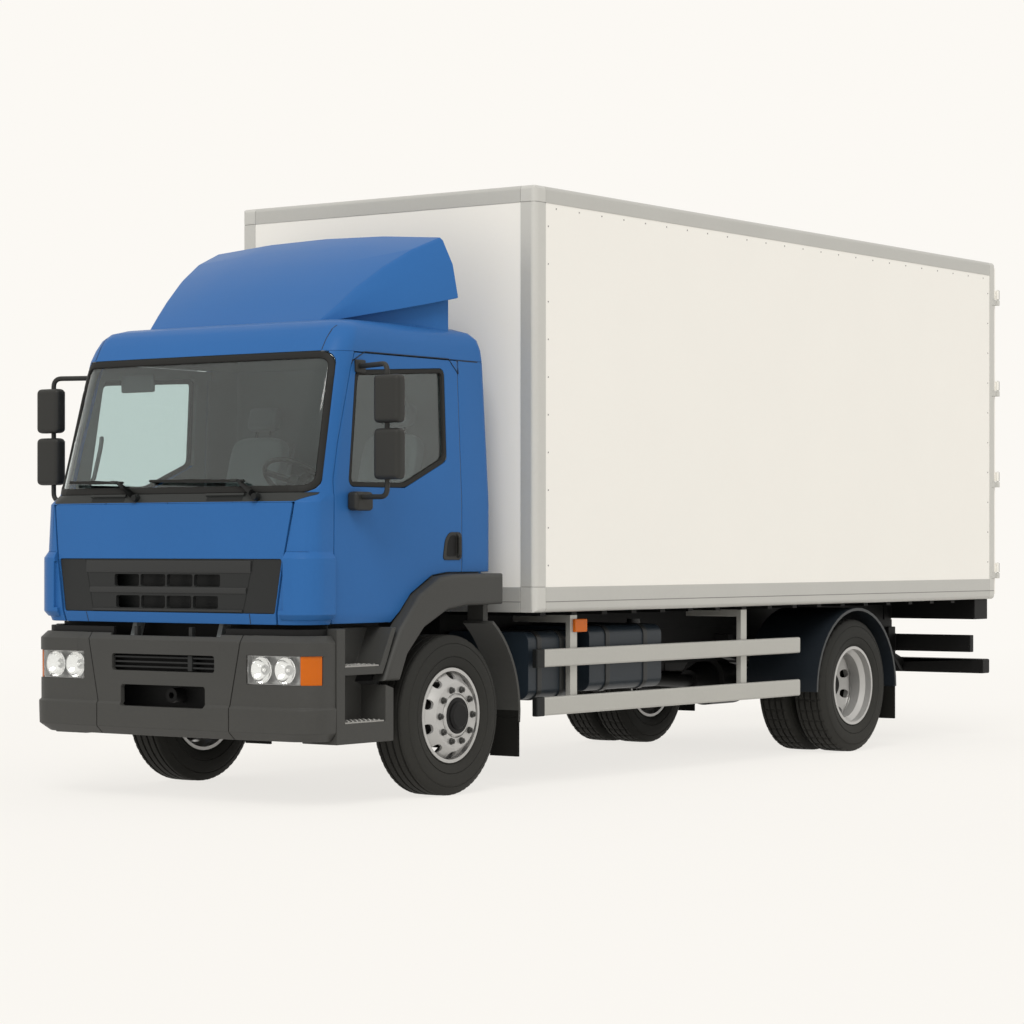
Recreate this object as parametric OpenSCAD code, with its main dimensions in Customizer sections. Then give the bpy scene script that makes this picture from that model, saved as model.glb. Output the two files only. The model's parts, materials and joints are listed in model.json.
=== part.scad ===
// Two-axle box truck: cab over engine, twin rear tyres, box body with rear doors
// Millimetres; the front faces -Y, the left side is +X and the ground is z = 0
// Modules are written from the front axle, and in_frame() centres the whole

/* [Overall] */
// Distance between the two axles
wheelbase = 5040; // [4700:20:5500]
// From the front axle forward to the bumper face
front_overhang = 1430; // [1420:2:1450]
// Lock bars stand this far behind the rear doors
lock_proud = 40; // [36:1:60]

/* [Wheels] */
// Outer diameter of every tyre
tyre_d = 1010; // [980:2:1024]
// Section width of every tyre
tyre_w = 275; // [260:1:285]
// Diameter over the rim flanges
rim_d = 597; // [580:1:610]
// Width over the rim flanges
rim_w = 236; // [220:1:244]
// Spacing of the two tyres of a twin wheel
dual_spacing = 312; // [308:1:330]
// Distance between the front tyre centres
front_track = 2056; // [2040:2:2080]
// Width over the rear tyres
rear_over_tyres = 2430; // [2400:2:2450]
// Distance between the steering pivots
pivot_track = 1760; // [1750:2:1768]

/* [Frame] */
// Width over the frame rails
frame_w = 860; // [830:2:880]
// Height of the rail tops
frame_top = 960; // [945:1:975]
// Depth of the rails
rail_h = 260; // [230:2:280]
// Thickness of the rail web and flanges
rail_t = 8; // [6:1:12]

/* [Box body] */
// From the front axle back to the face of the box
box_front = 765; // [750:5:800]
// Length of the box over its doors
box_len = 6585; // [6300:5:7000]
// Width of the box
box_w = 2500; // [2460:2:2550]
// Lower edge of the box
box_bottom = 1135; // [1125:1:1160]
// Height of the box
box_h = 2770; // [2500:5:2900]
// Thickness of the box walls
box_wall = 45; // [35:1:60]
// Width of the corner posts
post_w = 120; // [100:1:140]
// Depth of the top rails
top_rail_h = 110; // [90:1:130]
// Depth of the bottom rails
bottom_rail_h = 165; // [150:1:180]

/* [Cab] */
// Width of the cab
cab_w = 2200; // [2180:2:2220]
// Back of the cab behind the front axle
cab_rear = 515; // [505:1:525]
// Thickness of the cab panels
cab_t = 55; // [45:1:60]
// Top of the roof
roof_z = 2950; // [2930:2:2980]
// Top of the air deflector
deflector_z = 3575; // [3450:5:3700]
// Gap around doors and the front lid
seam = 6; // [5:0.5:8]

/* [Fits] */
// Radial play of a turning pin
play = 0.06; // [0.04:0.01:0.09]
// Clearance between fitted pieces that do not move
seat = 0.3; // [0.2:0.05:0.5]

/* [Hidden] */
$fn = 48;
front_y = -front_overhang;
box_rear = box_front + box_len;
rear_y = box_rear + lock_proud;
mid_y = (front_y + rear_y) / 2;
axle_z = tyre_d / 2;
tyre_r = tyre_d / 2;
front_x = front_track / 2;
rear_x = rear_over_tyres / 2 - tyre_w / 2;
twin_x = rear_x - dual_spacing;
pivot_x = pivot_track / 2;
rim_r = rim_d / 2;
bead_r = rim_r - 12;
disc_off = dual_spacing / 2;
spindle_r = 45;
bolt_x = (rear_x + twin_x) / 2;
rail_x = frame_w / 2;
rail_z = frame_top - rail_h;
flange_w = 75;
frame_front = -1100;
frame_rear = 7060 - 7350 + box_rear;
box_x = box_w / 2;
box_top = box_bottom + box_h;
panel_in = 4;
floor_top = box_bottom + 85;
floor_t = 60;
cab_x = cab_w / 2;
cab_y = front_y + 40;
cab_z = 1095;
tilt_y = -1290;
tilt_z = frame_top;
lid_top = 1826;
lid_bottom = 1092;
sill_z = 1885;
head_z = 2745;
guard_x = box_x - 82;
guard_front = 850;
guard_rear = wheelbase - 820;
rear_pin_x = box_x + 6;
rear_pin_y = box_rear + 7;
arm_y = 200;

// Helpers

function unit(v) = v / norm(v);

// Outline with every corner rounded to radius r in n steps
function fillet(pts, r, n = 4) = let (m = len(pts)) [
  for (i = [0 : m - 1])
    let (p = pts[i], u = unit(pts[(i + m - 1) % m] - p), v = unit(pts[(i + 1) % m] - p))
    let (h = acos(u * v) / 2, c = p + unit(u + v) * r / sin(h), d = r / tan(h))
    for (k = [0 : n]) c + r * unit((p + u * d - c) * (1 - k / n) + (p + v * d - c) * k / n)
];

// Outline with every point moved by d towards the point c
function offset_in(pts, c, d) = [for (p = pts) p + unit(c - p) * d];

function rect(x0, y0, x1, y1) = [[x0, y0], [x1, y0], [x1, y1], [x0, y1]];

function arc(cx, cy, r, a0, a1, n) =
  [for (i = [0 : n]) let (a = a0 + (a1 - a0) * i / n) [cx + r * cos(a), cy + r * sin(a)]];

module in_frame() translate([0, -mid_y, 0]) children();

module pair() {
  children();
  mirror([1, 0, 0]) children();
}

module right_hand() mirror([1, 0, 0]) children();

// Block between two corners
module block(x0, y0, z0, x1, y1, z1) translate([x0, y0, z0]) cube([x1 - x0, y1 - y0, z1 - z0]);

// Outline in y and z drawn across from x0 to x1
module across(pts, x0, x1)
  translate([x0, 0, 0]) rotate([90, 0, 90]) linear_extrude(x1 - x0) polygon(pts);

// Outline in x and z drawn along from y0 to y1
module along(pts, y0, y1)
  translate([0, y1, 0]) rotate([90, 0, 0]) linear_extrude(y1 - y0) polygon(pts);

// Outline in x and y drawn up from z0 to z1
module upright(pts, z0, z1) translate([0, 0, z0]) linear_extrude(z1 - z0) polygon(pts);

// Round bar between two points
module bar(p, q, r) {
  v = q - p;
  translate(p) rotate([0, acos(v[2] / norm(v)), atan2(v[1], v[0])]) cylinder(h = norm(v), r = r);
}

// Round bar along X
module shaft(x0, x1, y, z, r)
  translate([x0, y, z]) rotate([0, 90, 0]) cylinder(h = x1 - x0, r = r);

// Body of revolution about an axle line along X, profile in radius and distance outboard
module turned(pts) rotate([0, 90, 0]) rotate_extrude($fn = 64) polygon(pts);

// Closed solid through rings of points, each ring counter-clockwise from above
module loft(rings) {
  n = len(rings[0]);
  m = len(rings);
  polyhedron(
    points = [for (r = rings) each r],
    faces = concat(
      [[for (i = [0 : n - 1]) i]],
      [for (k = [0 : m - 2], i = [0 : n - 1]) [k * n + i, k * n + n + i, k * n + n + (i + 1) % n]],
      [for (k = [0 : m - 2], i = [0 : n - 1])
        [k * n + i, k * n + n + (i + 1) % n, k * n + (i + 1) % n]],
      [[for (i = [n - 1 : -1 : 0]) (m - 1) * n + i]]
    )
  );
}

// Plan outline with a bowed front: half width w, front f, front corner c, rear r, rear corner q
function plan_half(w, f, c, bow, r, q) = concat(
  [[0, f], [(w - c) * 0.55, f + bow * 0.3]],
  [for (i = [0 : 6]) let (a = -90 + 15 * i) [w - c + c * cos(a), f + bow + c + c * sin(a)]],
  [for (i = [0 : 2]) let (a = 45 * i) [w - q + q * cos(a), r - q + q * sin(a)]]
);

function plan_ring(half, z) = concat(
  [for (p = half) [p[0], p[1], z]],
  [for (i = [len(half) - 1 : -1 : 1]) [-half[i][0], half[i][1], z]]
);

// Cab shape: height, half width inset, front setback, front corner radius, rear setback
CAB = [
  [cab_z, 22, 18, 150, 0],
  [cab_z + 70, 4, 0, 150, 0],
  [1480, 0, 5, 150, 0],
  [lid_top + 2, 0, 28, 150, 0],
  [sill_z, 2, 55, 240, 0],
  [head_z, 40, 345, 150, 18],
  [head_z + 75, 46, 388, 150, 28],
  [roof_z - 65, 64, 432, 146, 44],
  [roof_z - 22, 102, 478, 142, 86],
  [roof_z, 168, 552, 135, 150]
];

// Cab volume drawn in by t, and lowered by drop
module cab_volume(t, drop = 0) loft([for (c = CAB) plan_ring(
  plan_half(cab_x - c[1] - t, cab_y + c[2] + t, c[3] - t, 20, cab_rear - c[4] - t, 80 - t / 2),
  c[0] - drop)]);

module cab_shell(t) difference() {
  cab_volume(0);
  cab_volume(t, t);
}

// Bumper shape: height, half width inset, front setback
BUMPER = [
  [400, 45, 58],
  [450, 5, 0],
  [592, 0, 0],
  [604, 9, 12],
  [990, 8, 10],
  [1030, 40, 38]
];
bumper_x = 1160;
bumper_y = -1150;

module bumper_volume(t, z_low = 0, z_high = 0) loft([for (i = [0 : len(BUMPER) - 1]) let (b = BUMPER[i])
  plan_ring(plan_half(bumper_x - b[1] - t, front_y + b[2] + t, 170 - t, 30, bumper_y + 60, 20),
  b[0] - (i == 0 ? z_low : 0) - (i == len(BUMPER) - 1 ? z_high : 0))]);

// Side outlines of the cab in y and z
door_line = [[-1105, cab_z + 3], [-1095, 1960], [-1040, 2185], [-900, 2629], [-853, head_z - 7]];
arch_line = [[-540, 1060], [-345, 1265], [-130, 1375], [20, 1392]];
door_outline = concat(
  [door_line[0], [-527, cab_z + 3], [-352, 1272], [-137, 1384], [15, 1402]],
  [[172, 1402], [172, head_z - 7]],
  [for (i = [4 : -1 : 1]) door_line[i]]
);
window_outline = fillet([[-962, 1922], [-406, 1924], [32, 2100], [38, 2685], [-855, 2632]], 45);

// Running gear

module chassis_frame() color("#26282b") {
  pair() {
    difference() {
      block(rail_x - flange_w, frame_front, rail_z, rail_x, frame_rear, frame_top);
      block(0, frame_front - 1, rail_z + rail_t, rail_x - rail_t, frame_rear + 1, frame_top - rail_t);
    }
    cab_bracket();
  }
  inner = rail_x - rail_t - seat;
  for (m = [[640, frame_top - 120, 90], [1900, frame_top - 110, 90], [3300, frame_top - 110, 90],
            [wheelbase - 900, frame_top - 110, 90], [wheelbase + 900, frame_top - 130, 110]])
    block(-inner, m[0], m[1], inner, m[0] + 80, m[1] + m[2]);
  tow_member();
  end_member();
}

// Plate and pin that carry the tilting cab
module cab_bracket() {
  across(fillet([[frame_front + 60, rail_z + 60], [frame_front + 60, frame_top - 12],
    [tilt_y + 20, tilt_z + 36], [tilt_y - 36, tilt_z + 36], [tilt_y - 36, tilt_z - 40]], 12),
    rail_x - 54, rail_x - rail_t + 1);
  shaft(rail_x - 98, rail_x - 40, tilt_y, tilt_z, 20);
}

// Front towing boss behind the lower bumper opening
module tow_member() difference() {
  union() {
    block(-rail_x + flange_w + seat, -1090, 600, rail_x - flange_w - seat, -1050, rail_z + 100);
    translate([0, -1330, 650]) rotate([-90, 0, 0]) cylinder(h = 260, r = 45);
  }
  translate([0, -1331, 650]) rotate([-90, 0, 0]) cylinder(h = 160, r = 20);
}

// End member with the bore for a coupling
module end_member() difference() {
  block(-rail_x + rail_t + seat, frame_rear - 90, rail_z + 20,
    rail_x - rail_t - seat, frame_rear, frame_top - 12);
  translate([0, frame_rear - 91, frame_top - 60]) rotate([-90, 0, 0]) cylinder(h = 92, r = 25);
}

module engine() color("#4a4d50") {
  mount_x = rail_x - rail_t - seat;
  union() {
    along(fillet([[-200, 480], [200, 480], [290, 700], [290, 1180], [220, 1240],
      [-220, 1240], [-290, 1180], [-290, 700]], 25), -850, 350);
    along(fillet(rect(-200, 560, 200, 820), 60), 349, 900);
    for (x = [-1, 1], y = [-600, 200])
      along(x > 0 ? rect(280, 760, mount_x, 820) : rect(-mount_x, 760, -280, 820), y, y + 80);
    translate([0, 899, 740]) rotate([-90, 0, 0]) cylinder(h = 120, r = 70);
  }
  block(-330, -1030, 740, 330, -960, 1080);
  block(-mount_x, -1010, 800, mount_x, -980, 860);
}

module propshaft() color("#3a3c3f")
  bar([0, 1022, 740], [0, wheelbase - 472, axle_z + 20], 50);

module front_axle() color("#2f3134") {
  beam = [[-pivot_x + 40, axle_z - 45], [-pivot_x + 40, axle_z + 45], [-pivot_x + 110, axle_z + 45],
    [-560, axle_z - 85], [560, axle_z - 85], [pivot_x - 110, axle_z + 45], [pivot_x - 40, axle_z + 45],
    [pivot_x - 40, axle_z - 45], [pivot_x - 110, axle_z - 60], [540, axle_z - 175],
    [-540, axle_z - 175], [-pivot_x + 110, axle_z - 60]];
  difference() {
    along(beam, -45, 45);
    for (y = [-46, 20]) along(rect(-500, axle_z - 155, 500, axle_z - 105), y, y + 26);
  }
  for (x = [-pivot_x, pivot_x]) translate([x, 0, 0]) {
    translate([0, 0, axle_z - 60]) cylinder(h = 120, r = 48);
    translate([0, 0, axle_z - 114]) cylinder(h = 228, r = 25);
  }
}

module rear_axle() color("#2f3134") translate([0, wheelbase, axle_z]) {
  shaft(-twin_x + 110, twin_x - 110, 0, 0, 70);
  shaft(-bolt_x - 70, bolt_x + 70, 0, 0, spindle_r);
  for (x = [-1, 1]) shaft(x * (twin_x - 108) - 8, x * (twin_x - 108) + 8, 0, 0, 183);
  translate([0, 150, 20]) rotate([90, 0, 0]) cylinder(h = 400, r = 195);
  translate([0, -249, 20]) rotate([90, 0, 0]) cylinder(h = 220, r1 = 150, r2 = 85);
}

// Curved leaf from -l to l, its top surface at height z and radius r
module leaf(l, z, r, t) {
  n = 16;
  function s(i) = -l + 2 * l * i / n;
  polygon(concat(
    [for (i = [0 : n]) [s(i), z + r - sqrt(r * r - s(i) * s(i))]],
    [for (i = [n : -1 : 0]) [s(i), z + r - sqrt((r + t) * (r + t) - s(i) * s(i))]]
  ));
}

// Spring pack: centre along y, top of the seat, half length, number of leaves
module spring_pack(x, y, z, l, leaves, hanger_in, hanger_top) {
  r = 3200;
  t = 15;
  rise = r - sqrt(r * r - l * l);
  translate([x - 40, y, 0]) rotate([90, 0, 90]) linear_extrude(80)
    for (i = [0 : leaves - 1]) leaf(l - i * 120, z + leaves * t - i * t, r, t + 0.5);
  translate([0, y, 0]) {
    block(x - 44, -70, z - 1, x + 44, 70, z + leaves * t + 24);
    for (s = [-l + 20, l - 20]) {
      shaft(x - 40, x + 40, s, z + leaves * t + rise + 10, 30);
      block(hanger_in, s - 35, z + leaves * t + rise + 10, x + 40, s + 35, hanger_top);
    }
  }
}

module leaf_springs() color("#1f2022") pair() {
  spring_pack(rail_x - 42, 0, axle_z - 84, 720, 4, rail_x - 80, rail_z);
  spring_pack(rail_x + 84, wheelbase, axle_z + 71, 760, 5, rail_x + seat, frame_top - 60);
}

// Steering

module knuckle() difference() {
  translate([pivot_x, 0, axle_z]) union() {
    for (z = [-114, 65]) {
      translate([0, 0, z]) cylinder(h = 49, r = 48);
      block(0, -48, z, 90, 48, z + 49);
    }
    block(53, -48, -114, 90, 48, 114);
    shaft(80, front_x - pivot_x + disc_off - 30, 0, 0, spindle_r);
    shaft(76, 90, 0, 0, 183);
    block(-24, 0, -114, 16, arm_y - 24, -84);
    translate([0, arm_y, -114]) cylinder(h = 30, r = 30);
    block(-22, arm_y - 50, -114, 22, arm_y, -84);
    translate([0, arm_y, -164]) cylinder(h = 64, r = 14);
  }
  translate([pivot_x, 0, 0]) cylinder(h = axle_z + 200, r = 25 + play);
}

module knuckle_left() color("#3a3d40") knuckle();
module knuckle_right() color("#3a3d40") right_hand() knuckle();

module tie_rod() color("#55585c") difference() {
  union() {
    shaft(-pivot_x + 20, pivot_x - 20, arm_y, axle_z - 139, 17);
    for (x = [-pivot_x, pivot_x])
      translate([x, arm_y, axle_z - 160]) cylinder(h = 42, r = 32);
  }
  for (x = [-pivot_x, pivot_x]) translate([x, arm_y, 0]) cylinder(h = axle_z, r = 14 + play);
}

// Wheels, drawn about their own axle line with +X outboard

module tyre() {
  w = tyre_w / 2;
  b = rim_w / 2 - 17;
  groove = [for (c = [-78, -26, 26, 78]) each [[tyre_r, c - 8], [tyre_r - 15, c - 5],
    [tyre_r - 15, c + 5], [tyre_r, c + 8]]];
  turned(concat(
    [[bead_r, -b], [bead_r + 22, -b - 14], [bead_r + 70, -w + 4], [bead_r + 115, -w]],
    [[tyre_r - 62, -w + 6], [tyre_r - 26, -w + 18], [tyre_r - 6, -w + 30]],
    groove,
    [[tyre_r - 6, w - 30], [tyre_r - 26, w - 18], [tyre_r - 62, w - 6]],
    [[bead_r + 115, w], [bead_r + 70, w - 4], [bead_r + 22, b + 14], [bead_r, b]]
  ));
}

module rim() {
  h = rim_w / 2;
  d = bead_r - 31;
  turned([[rim_r, -h], [rim_r, -h + 9], [bead_r - seat, -h + 13], [bead_r - seat, -62], [d, -32],
    [d, 32], [bead_r - seat, 62], [bead_r - seat, h - 13], [rim_r, h - 9], [rim_r, h],
    [bead_r - 9, h], [bead_r - 9, 68], [d - 9, 36], [d - 9, -36], [bead_r - 9, -68],
    [bead_r - 9, -h]]);
}

// Wheel disc on the outboard side with ten hand holes
module disc() difference() {
  turned([[140, disc_off - 12], [140, disc_off], [206, disc_off], [220, disc_off - 9],
    [bead_r - 6, 84], [bead_r - 6, 70], [214, disc_off - 22], [202, disc_off - 12]]);
  for (i = [0 : 9]) rotate([36 * i, 0, 0]) translate([60, 0, 250]) rotate([0, 90, 0]) {
    for (y = [-9, 9]) translate([0, y, 0]) cylinder(h = 90, r = 24);
    translate([-24, -9, 0]) cube([48, 18, 90]);
  }
}

// Hub and brake drum about a bore for the spindle
module hub(inner, face, tip) difference() {
  turned([[0, tip], [70, tip], [86, tip - 12], [86, face + 10], [126, face + 10], [136, face],
    [136, face - 11.5], [196, face - 11.5], [206, face - 30], [206, inner], [191, inner],
    [191, face - 34], [120, face - 34], [120, face - 110], [0, face - 110]]);
  shaft(face - 111, tip - 24, 0, 0, spindle_r + play);
}

module front_wheel() translate([front_x, 0, axle_z]) {
  rim();
  disc();
  hub(-84, disc_off, disc_off + 34);
}

module rear_wheels() translate([0, wheelbase, axle_z]) {
  translate([rear_x, 0, 0]) mirror([1, 0, 0]) {
    rim();
    disc();
  }
  translate([twin_x, 0, 0]) {
    rim();
    disc();
    hub(-90, disc_off, disc_off + 110);
  }
}

module front_tyre_left() color("#2b2b2d") translate([front_x, 0, axle_z]) tyre();
module front_tyre_right() right_hand() front_tyre_left();

module rear_tyres_left() color("#2b2b2d") translate([0, wheelbase, axle_z])
  for (x = [twin_x, rear_x]) translate([x, 0, 0]) tyre();
module rear_tyres_right() right_hand() rear_tyres_left();

module front_wheel_left() color("#c9cbcd") front_wheel();
module front_wheel_right() color("#c9cbcd") right_hand() front_wheel();
module rear_wheels_left() color("#c9cbcd") rear_wheels();
module rear_wheels_right() color("#c9cbcd") right_hand() rear_wheels();

// Frame equipment

module tank(y0, y1, z0, z1, x1) {
  across_pts = fillet(rect(rail_x + 1, z0, x1, z1), 70, 5);
  along(across_pts, y0, y1);
  for (y = [y0 + 0.24 * (y1 - y0), y0 + 0.76 * (y1 - y0)])
    along(fillet(rect(rail_x + seat, z0 - 8, x1 + 8, z1 + 8), 76, 5), y - 25, y + 25);
}

module fuel_tanks() color("#22303f") {
  tank(882, 1375, 562, 1005, guard_x - 58);
  tank(1587, 2476, 592, 1028, guard_x - 58);
}

module battery_box() color("#2b2d30") right_hand() {
  along(fillet(rect(rail_x + seat, 560, guard_x - 68, 1000), 20), 900, 1560);
  for (z = [650, 780, 910]) block(guard_x - 69, 930, z, guard_x - 58, 1530, z + 40);
}

module silencer() color("#6a6d70") right_hand() {
  translate([790, 1720, 770]) rotate([-90, 0, 0]) cylinder(h = 850, r = 225);
  for (y = [1850, 2380]) {
    along(fillet(rect(rail_x + seat, 740, 640, 900), 10), y, y + 60);
    translate([790, y, 770]) rotate([-90, 0, 0]) cylinder(h = 60, r = 233);
  }
  translate([790, 2569, 770]) rotate([-90, 0, 0]) cylinder(h = 260, r = 55);
}

bearer_z = 1110;
bearers = floor((box_len - 600) / 360);

function bearer_y(i) = box_front + 165 + i * 360;

module side_guards() color("#b9bcc0") pair() {
  for (z = [[460, 582], [776, 894]])
    along(fillet(rect(guard_x, z[0], guard_x + 38, z[1]), 14), guard_front, guard_rear);
  for (i = [1, 7]) let (y = bearer_y(i) - 10) {
    block(guard_x - 38, y, 460, guard_x - seat, y + 80, bearer_z - seat);
    block(700, y, bearer_z - 50, guard_x - 37, y + 80, bearer_z - seat);
  }
}

module bumper_shell() difference() {
  bumper_volume(0);
  bumper_volume(36, 10, 26);
  block(55 - bumper_x, front_y + 60, 900, bumper_x - 55, -900, 1100);
  block(-2000, bumper_y, 0, 2000, 0, 2000);
  block(-450, front_y - 50, 1016, 450, bumper_y, 1100);
}

// Joint of the middle and corner mouldings, moved outboard by d
function bumper_joint(d) = [[539 + d, 0], [539 + d, 604], [619 + d, 990], [619 + d, 2000]];

module bumper_centre() color("#4b4c4e") {
  bumper_face();
  pair() block(rail_x - 50, front_y + 40, 925, rail_x - 10, tilt_y - 36 - seat, 985);
}

module bumper_face() difference() {
  intersection() {
    bumper_shell();
    along(concat(bumper_joint(0), [for (i = [3 : -1 : 0]) let (p = bumper_joint(0)[i]) [-p[0], p[1]]]),
      -2000, 0);
  }
  along(fillet(rect(-420, 800, 420, 902), 18), -2000, -900);
  along(fillet(rect(-345, 582, 345, 714), 18), -2000, -900);
}

lamp_z = [738, 912];
lamp_x = 668;

module bumper_corners() color("#4b4c4e") pair() difference() {
  intersection() {
    bumper_shell();
    along(concat([[2000, 0], [2000, 2000]], [for (i = [3 : -1 : 0]) bumper_joint(seam)[i]]), -2000, 0);
  }
  along(fillet(rect(lamp_x - seat, lamp_z[0] - seat, 1400, lamp_z[1] + seat), 8 + seat), -2000, -1258);
}

// Lamp body filling the bumper pocket between x0 and x1
module lamp_body(x0, x1) intersection() {
  difference() {
    bumper_volume(6);
    bumper_volume(78, 10, -10);
  }
  along(fillet(rect(x0, lamp_z[0], x1, lamp_z[1]), 8), -2000, -1262);
}

module headlamps() color("#dfe3e6") pair() lamp_body(lamp_x, 1052);

module amber_lamps() color("#e08a1e") pair() {
  lamp_body(1056, 1300);
  along(fillet(rect(guard_x, 996, guard_x + 20, 1084), 8), bearer_y(1) + 20, bearer_y(1) + 160);
}

module steps() color("#3d3e40") pair() {
  step_box();
  block(rail_x + seat, -1010, 740, 891, -950, 800);
}

module step_box() difference() {
  across([[bumper_y + seat, 378], [-602, 378], [-602, 700], [-735, 740], [-670, 860], [-575, 1070],
    [bumper_y + seat, 1070]], 890, 1160);
  along(fillet(rect(965, 500, 1300, 790), 20), -1070, -680);
  across([[-1070, 838], [-735, 838], [-600, 1100], [-1070, 1100]], 965, 1300);
}

module front_mudguards() color("#2d2e30") pair() {
  across(concat(arc(0, axle_z, 722, -6, 54, 10), arc(0, axle_z, 700, 54, -6, 10)), 930, 1165);
  block(935, 696, 206, 1160, 716, 460);
  block(rail_x + seat, 640, 760, 931, 690, 800);
}

wing_z = 478;

module rear_wings() color("#20303f") pair() {
  across(concat(arc(wheelbase, wing_z, 620, 0, 180, 24), arc(wheelbase, wing_z, 598, 180, 0, 24)),
    612, box_x - 18);
  block(622, wheelbase + 599, 225, box_x - 28, wheelbase + 619, 480);
  for (y = [wheelbase - 560, wheelbase + 520]) block(rail_x + seat, y, 760, 613, y + 40, 800);
}

module underrun_bar() color("#303235") {
  along(fillet(rect(50 - box_x, 522, box_x - 50, 640), 12), box_rear - 150, box_rear - 30);
  pair() {
    across([[box_rear - 280, 680], [box_rear - 280, 900], [box_rear - 400, 900],
      [box_rear - 400, 760], [box_rear - 151, 530], [box_rear - 149, 636]], rail_x + seat, rail_x + 30);
  }
  block(100 - box_x, box_rear - 281, 700, box_x - 100, box_rear - 218, 840);
}

module rear_lamp_bar() color("#1d1e20") {
  block(50 - box_x, box_rear - 300, 970, box_x - 50, box_rear - 70, box_bottom - seat);
  pair() {
    block(box_x - 350, box_rear - 71, 985, box_x - 70, box_rear - 52, 1075);
    block(rail_x - 75, box_rear - 420, frame_top + seat, rail_x, box_rear - 299, box_bottom - 30);
  }
}

// Box body

module box_envelope() intersection() {
  along(fillet([[-box_x, box_bottom], [box_x, box_bottom], [box_x, box_top], [-box_x, box_top]], 30),
    box_front - 1, box_rear);
  upright(fillet(rect(-box_x, box_front, box_x, box_rear), 40), box_bottom - 1, box_top + 1);
  across(fillet(rect(box_front, box_bottom - 100, box_rear + 200, box_top), 30), -box_x, box_x);
}

frame_y = box_rear - 45;
rail_in = box_x - box_wall - panel_in;
low_z = box_bottom + bottom_rail_h;
high_z = box_top - top_rail_h;

module box_floor() color("#5b4a36") union() {
  block(-rail_in, box_front + box_wall + panel_in, floor_top - floor_t, rail_in, frame_y - 80, floor_top);
  for (i = [0 : bearers]) let (y = bearer_y(i))
    block(-rail_in + 30, y, bearer_z, rail_in - 30, y + 60, floor_top - floor_t + 1);
  for (x = [-rail_x, rail_x - flange_w])
    block(x, box_front + 60, frame_top + seat, x + flange_w, frame_y - 400, floor_top - floor_t + 1);
}

module box_front_wall() color("#f1f1ef")
  block(-box_x + post_w, box_front + panel_in, low_z,
    box_x - post_w, box_front + panel_in + box_wall, high_z);

module box_sides() color("#f1f1ef") pair()
  block(rail_in, box_front + post_w, low_z, box_x - panel_in, frame_y - 80, high_z);

module box_roof() color("#f1f1ef")
  block(-rail_in, box_front + box_wall + panel_in, box_top - 44, rail_in, frame_y - 80, box_top - 4);

module box_edge_rails() color("#c3c6c9") {
  line = 1;
  intersection() {
    box_envelope();
    union() {
      pair() {
        difference() {
          for (z = [[box_bottom, low_z], [low_z + line, high_z], [high_z + line, box_top]])
            block(box_x - post_w, box_front, z[0], box_x, box_front + post_w, z[1]);
          block(0, box_front + box_wall + panel_in, box_bottom - 1, rail_in, 9000, box_top + 1);
        }
        for (z = [[box_bottom, low_z], [high_z, box_top]])
          block(rail_in, box_front + post_w + line, z[0], box_x, frame_y - 80, z[1]);
      }
      for (z = [[box_bottom, low_z], [high_z, box_top]])
        block(-box_x + post_w + line, box_front, z[0], box_x - post_w - line,
          box_front + box_wall + panel_in, z[1]);
    }
  }
}

hinge_z = [for (i = [0 : 3]) box_bottom + 260 + i * (box_h - 520) / 3];

module rear_frame() color("#c3c6c9") {
  intersection() {
    box_envelope();
    difference() {
      block(-box_x, frame_y - 80 + seat, box_bottom, box_x, frame_y, box_top);
      block(-box_x + 90, 0, floor_top, box_x - 90, 9000, high_z);
    }
  }
  pair() for (z = hinge_z) {
    block(box_x - 13.5, frame_y - 50, z - 90, rear_pin_x - 3, rear_pin_y, z - 46);
    translate([rear_pin_x, rear_pin_y, z - 90]) cylinder(h = 44, r = 16);
    translate([rear_pin_x, rear_pin_y, z - 90]) cylinder(h = 130, r = 8);
  }
}

// Left rear door with hinge straps, lock bars in guides and handles
module rear_door() {
  lock_y = box_rear + 20;
  difference() {
    union() {
      block(4, box_rear - 40, box_bottom + 40, box_x - 14, box_rear, box_top - 40);
      for (z = hinge_z) {
        block(box_x - 140, box_rear - 1, z - 40, rear_pin_x, box_rear + 7, z + 35);
        translate([rear_pin_x, rear_pin_y, z - 40]) cylinder(h = 75, r = 15);
      }
      for (x = [130, 800], i = [0 : 3]) let (z = box_bottom + 165 + i * (box_h - 370) / 3)
        block(x - 32, box_rear - 1, z, x + 32, rear_y, z + 50);
      block(150, box_rear - 1, 1640, 420, box_rear + 12, 1700);
    }
    for (z = hinge_z) translate([rear_pin_x, rear_pin_y, z - 41]) cylinder(h = 77, r = 8 + play);
    for (z = hinge_z) block(box_x - 15, box_rear - 100, z - 41, rear_pin_x - 22, box_rear - 0.5, z + 36);
    for (x = [130, 800]) translate([x, lock_y, box_bottom]) cylinder(h = box_h, r = 15);
  }
  for (x = [130, 800]) {
    translate([x, lock_y, box_bottom + 60]) cylinder(h = box_h - 120, r = 14.7);
  }
}

module rear_door_left() color("#eeeeec") rear_door();
module rear_door_right() color("#eeeeec") right_hand() rear_door();

// Cab

module cab_floor() color("#2b2d30") {
  difference() {
    union() {
      intersection() {
        cab_volume(cab_t + 7, cab_t);
        union() {
          block(-1100, -1285, 1100, 1100, -560, 1140);
          block(-1100, -580, 1100, 1100, -540, 1420);
          block(-1100, -560, 1380, 1100, cab_rear, 1420);
        }
      }
      intersection() {
        cab_volume(cab_t + seat, cab_t);
        block(-1100, 200, 1380, 1100, cab_rear, 1420);
      }
      block(-350, -920, 1100, 350, -540, 1330);
    }
    block(-330, -900, 1000, 330, -500, 1310);
  }
  pair() difference() {
    across(fillet([[tilt_y - 36, tilt_z - 30], [tilt_y + 36, tilt_z - 30], [-1190, 1110],
      [-1264, 1110]], 14), rail_x - 92, rail_x - 58);
    shaft(0, 900, tilt_y, tilt_z, 20 + play);
  }
}

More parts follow.
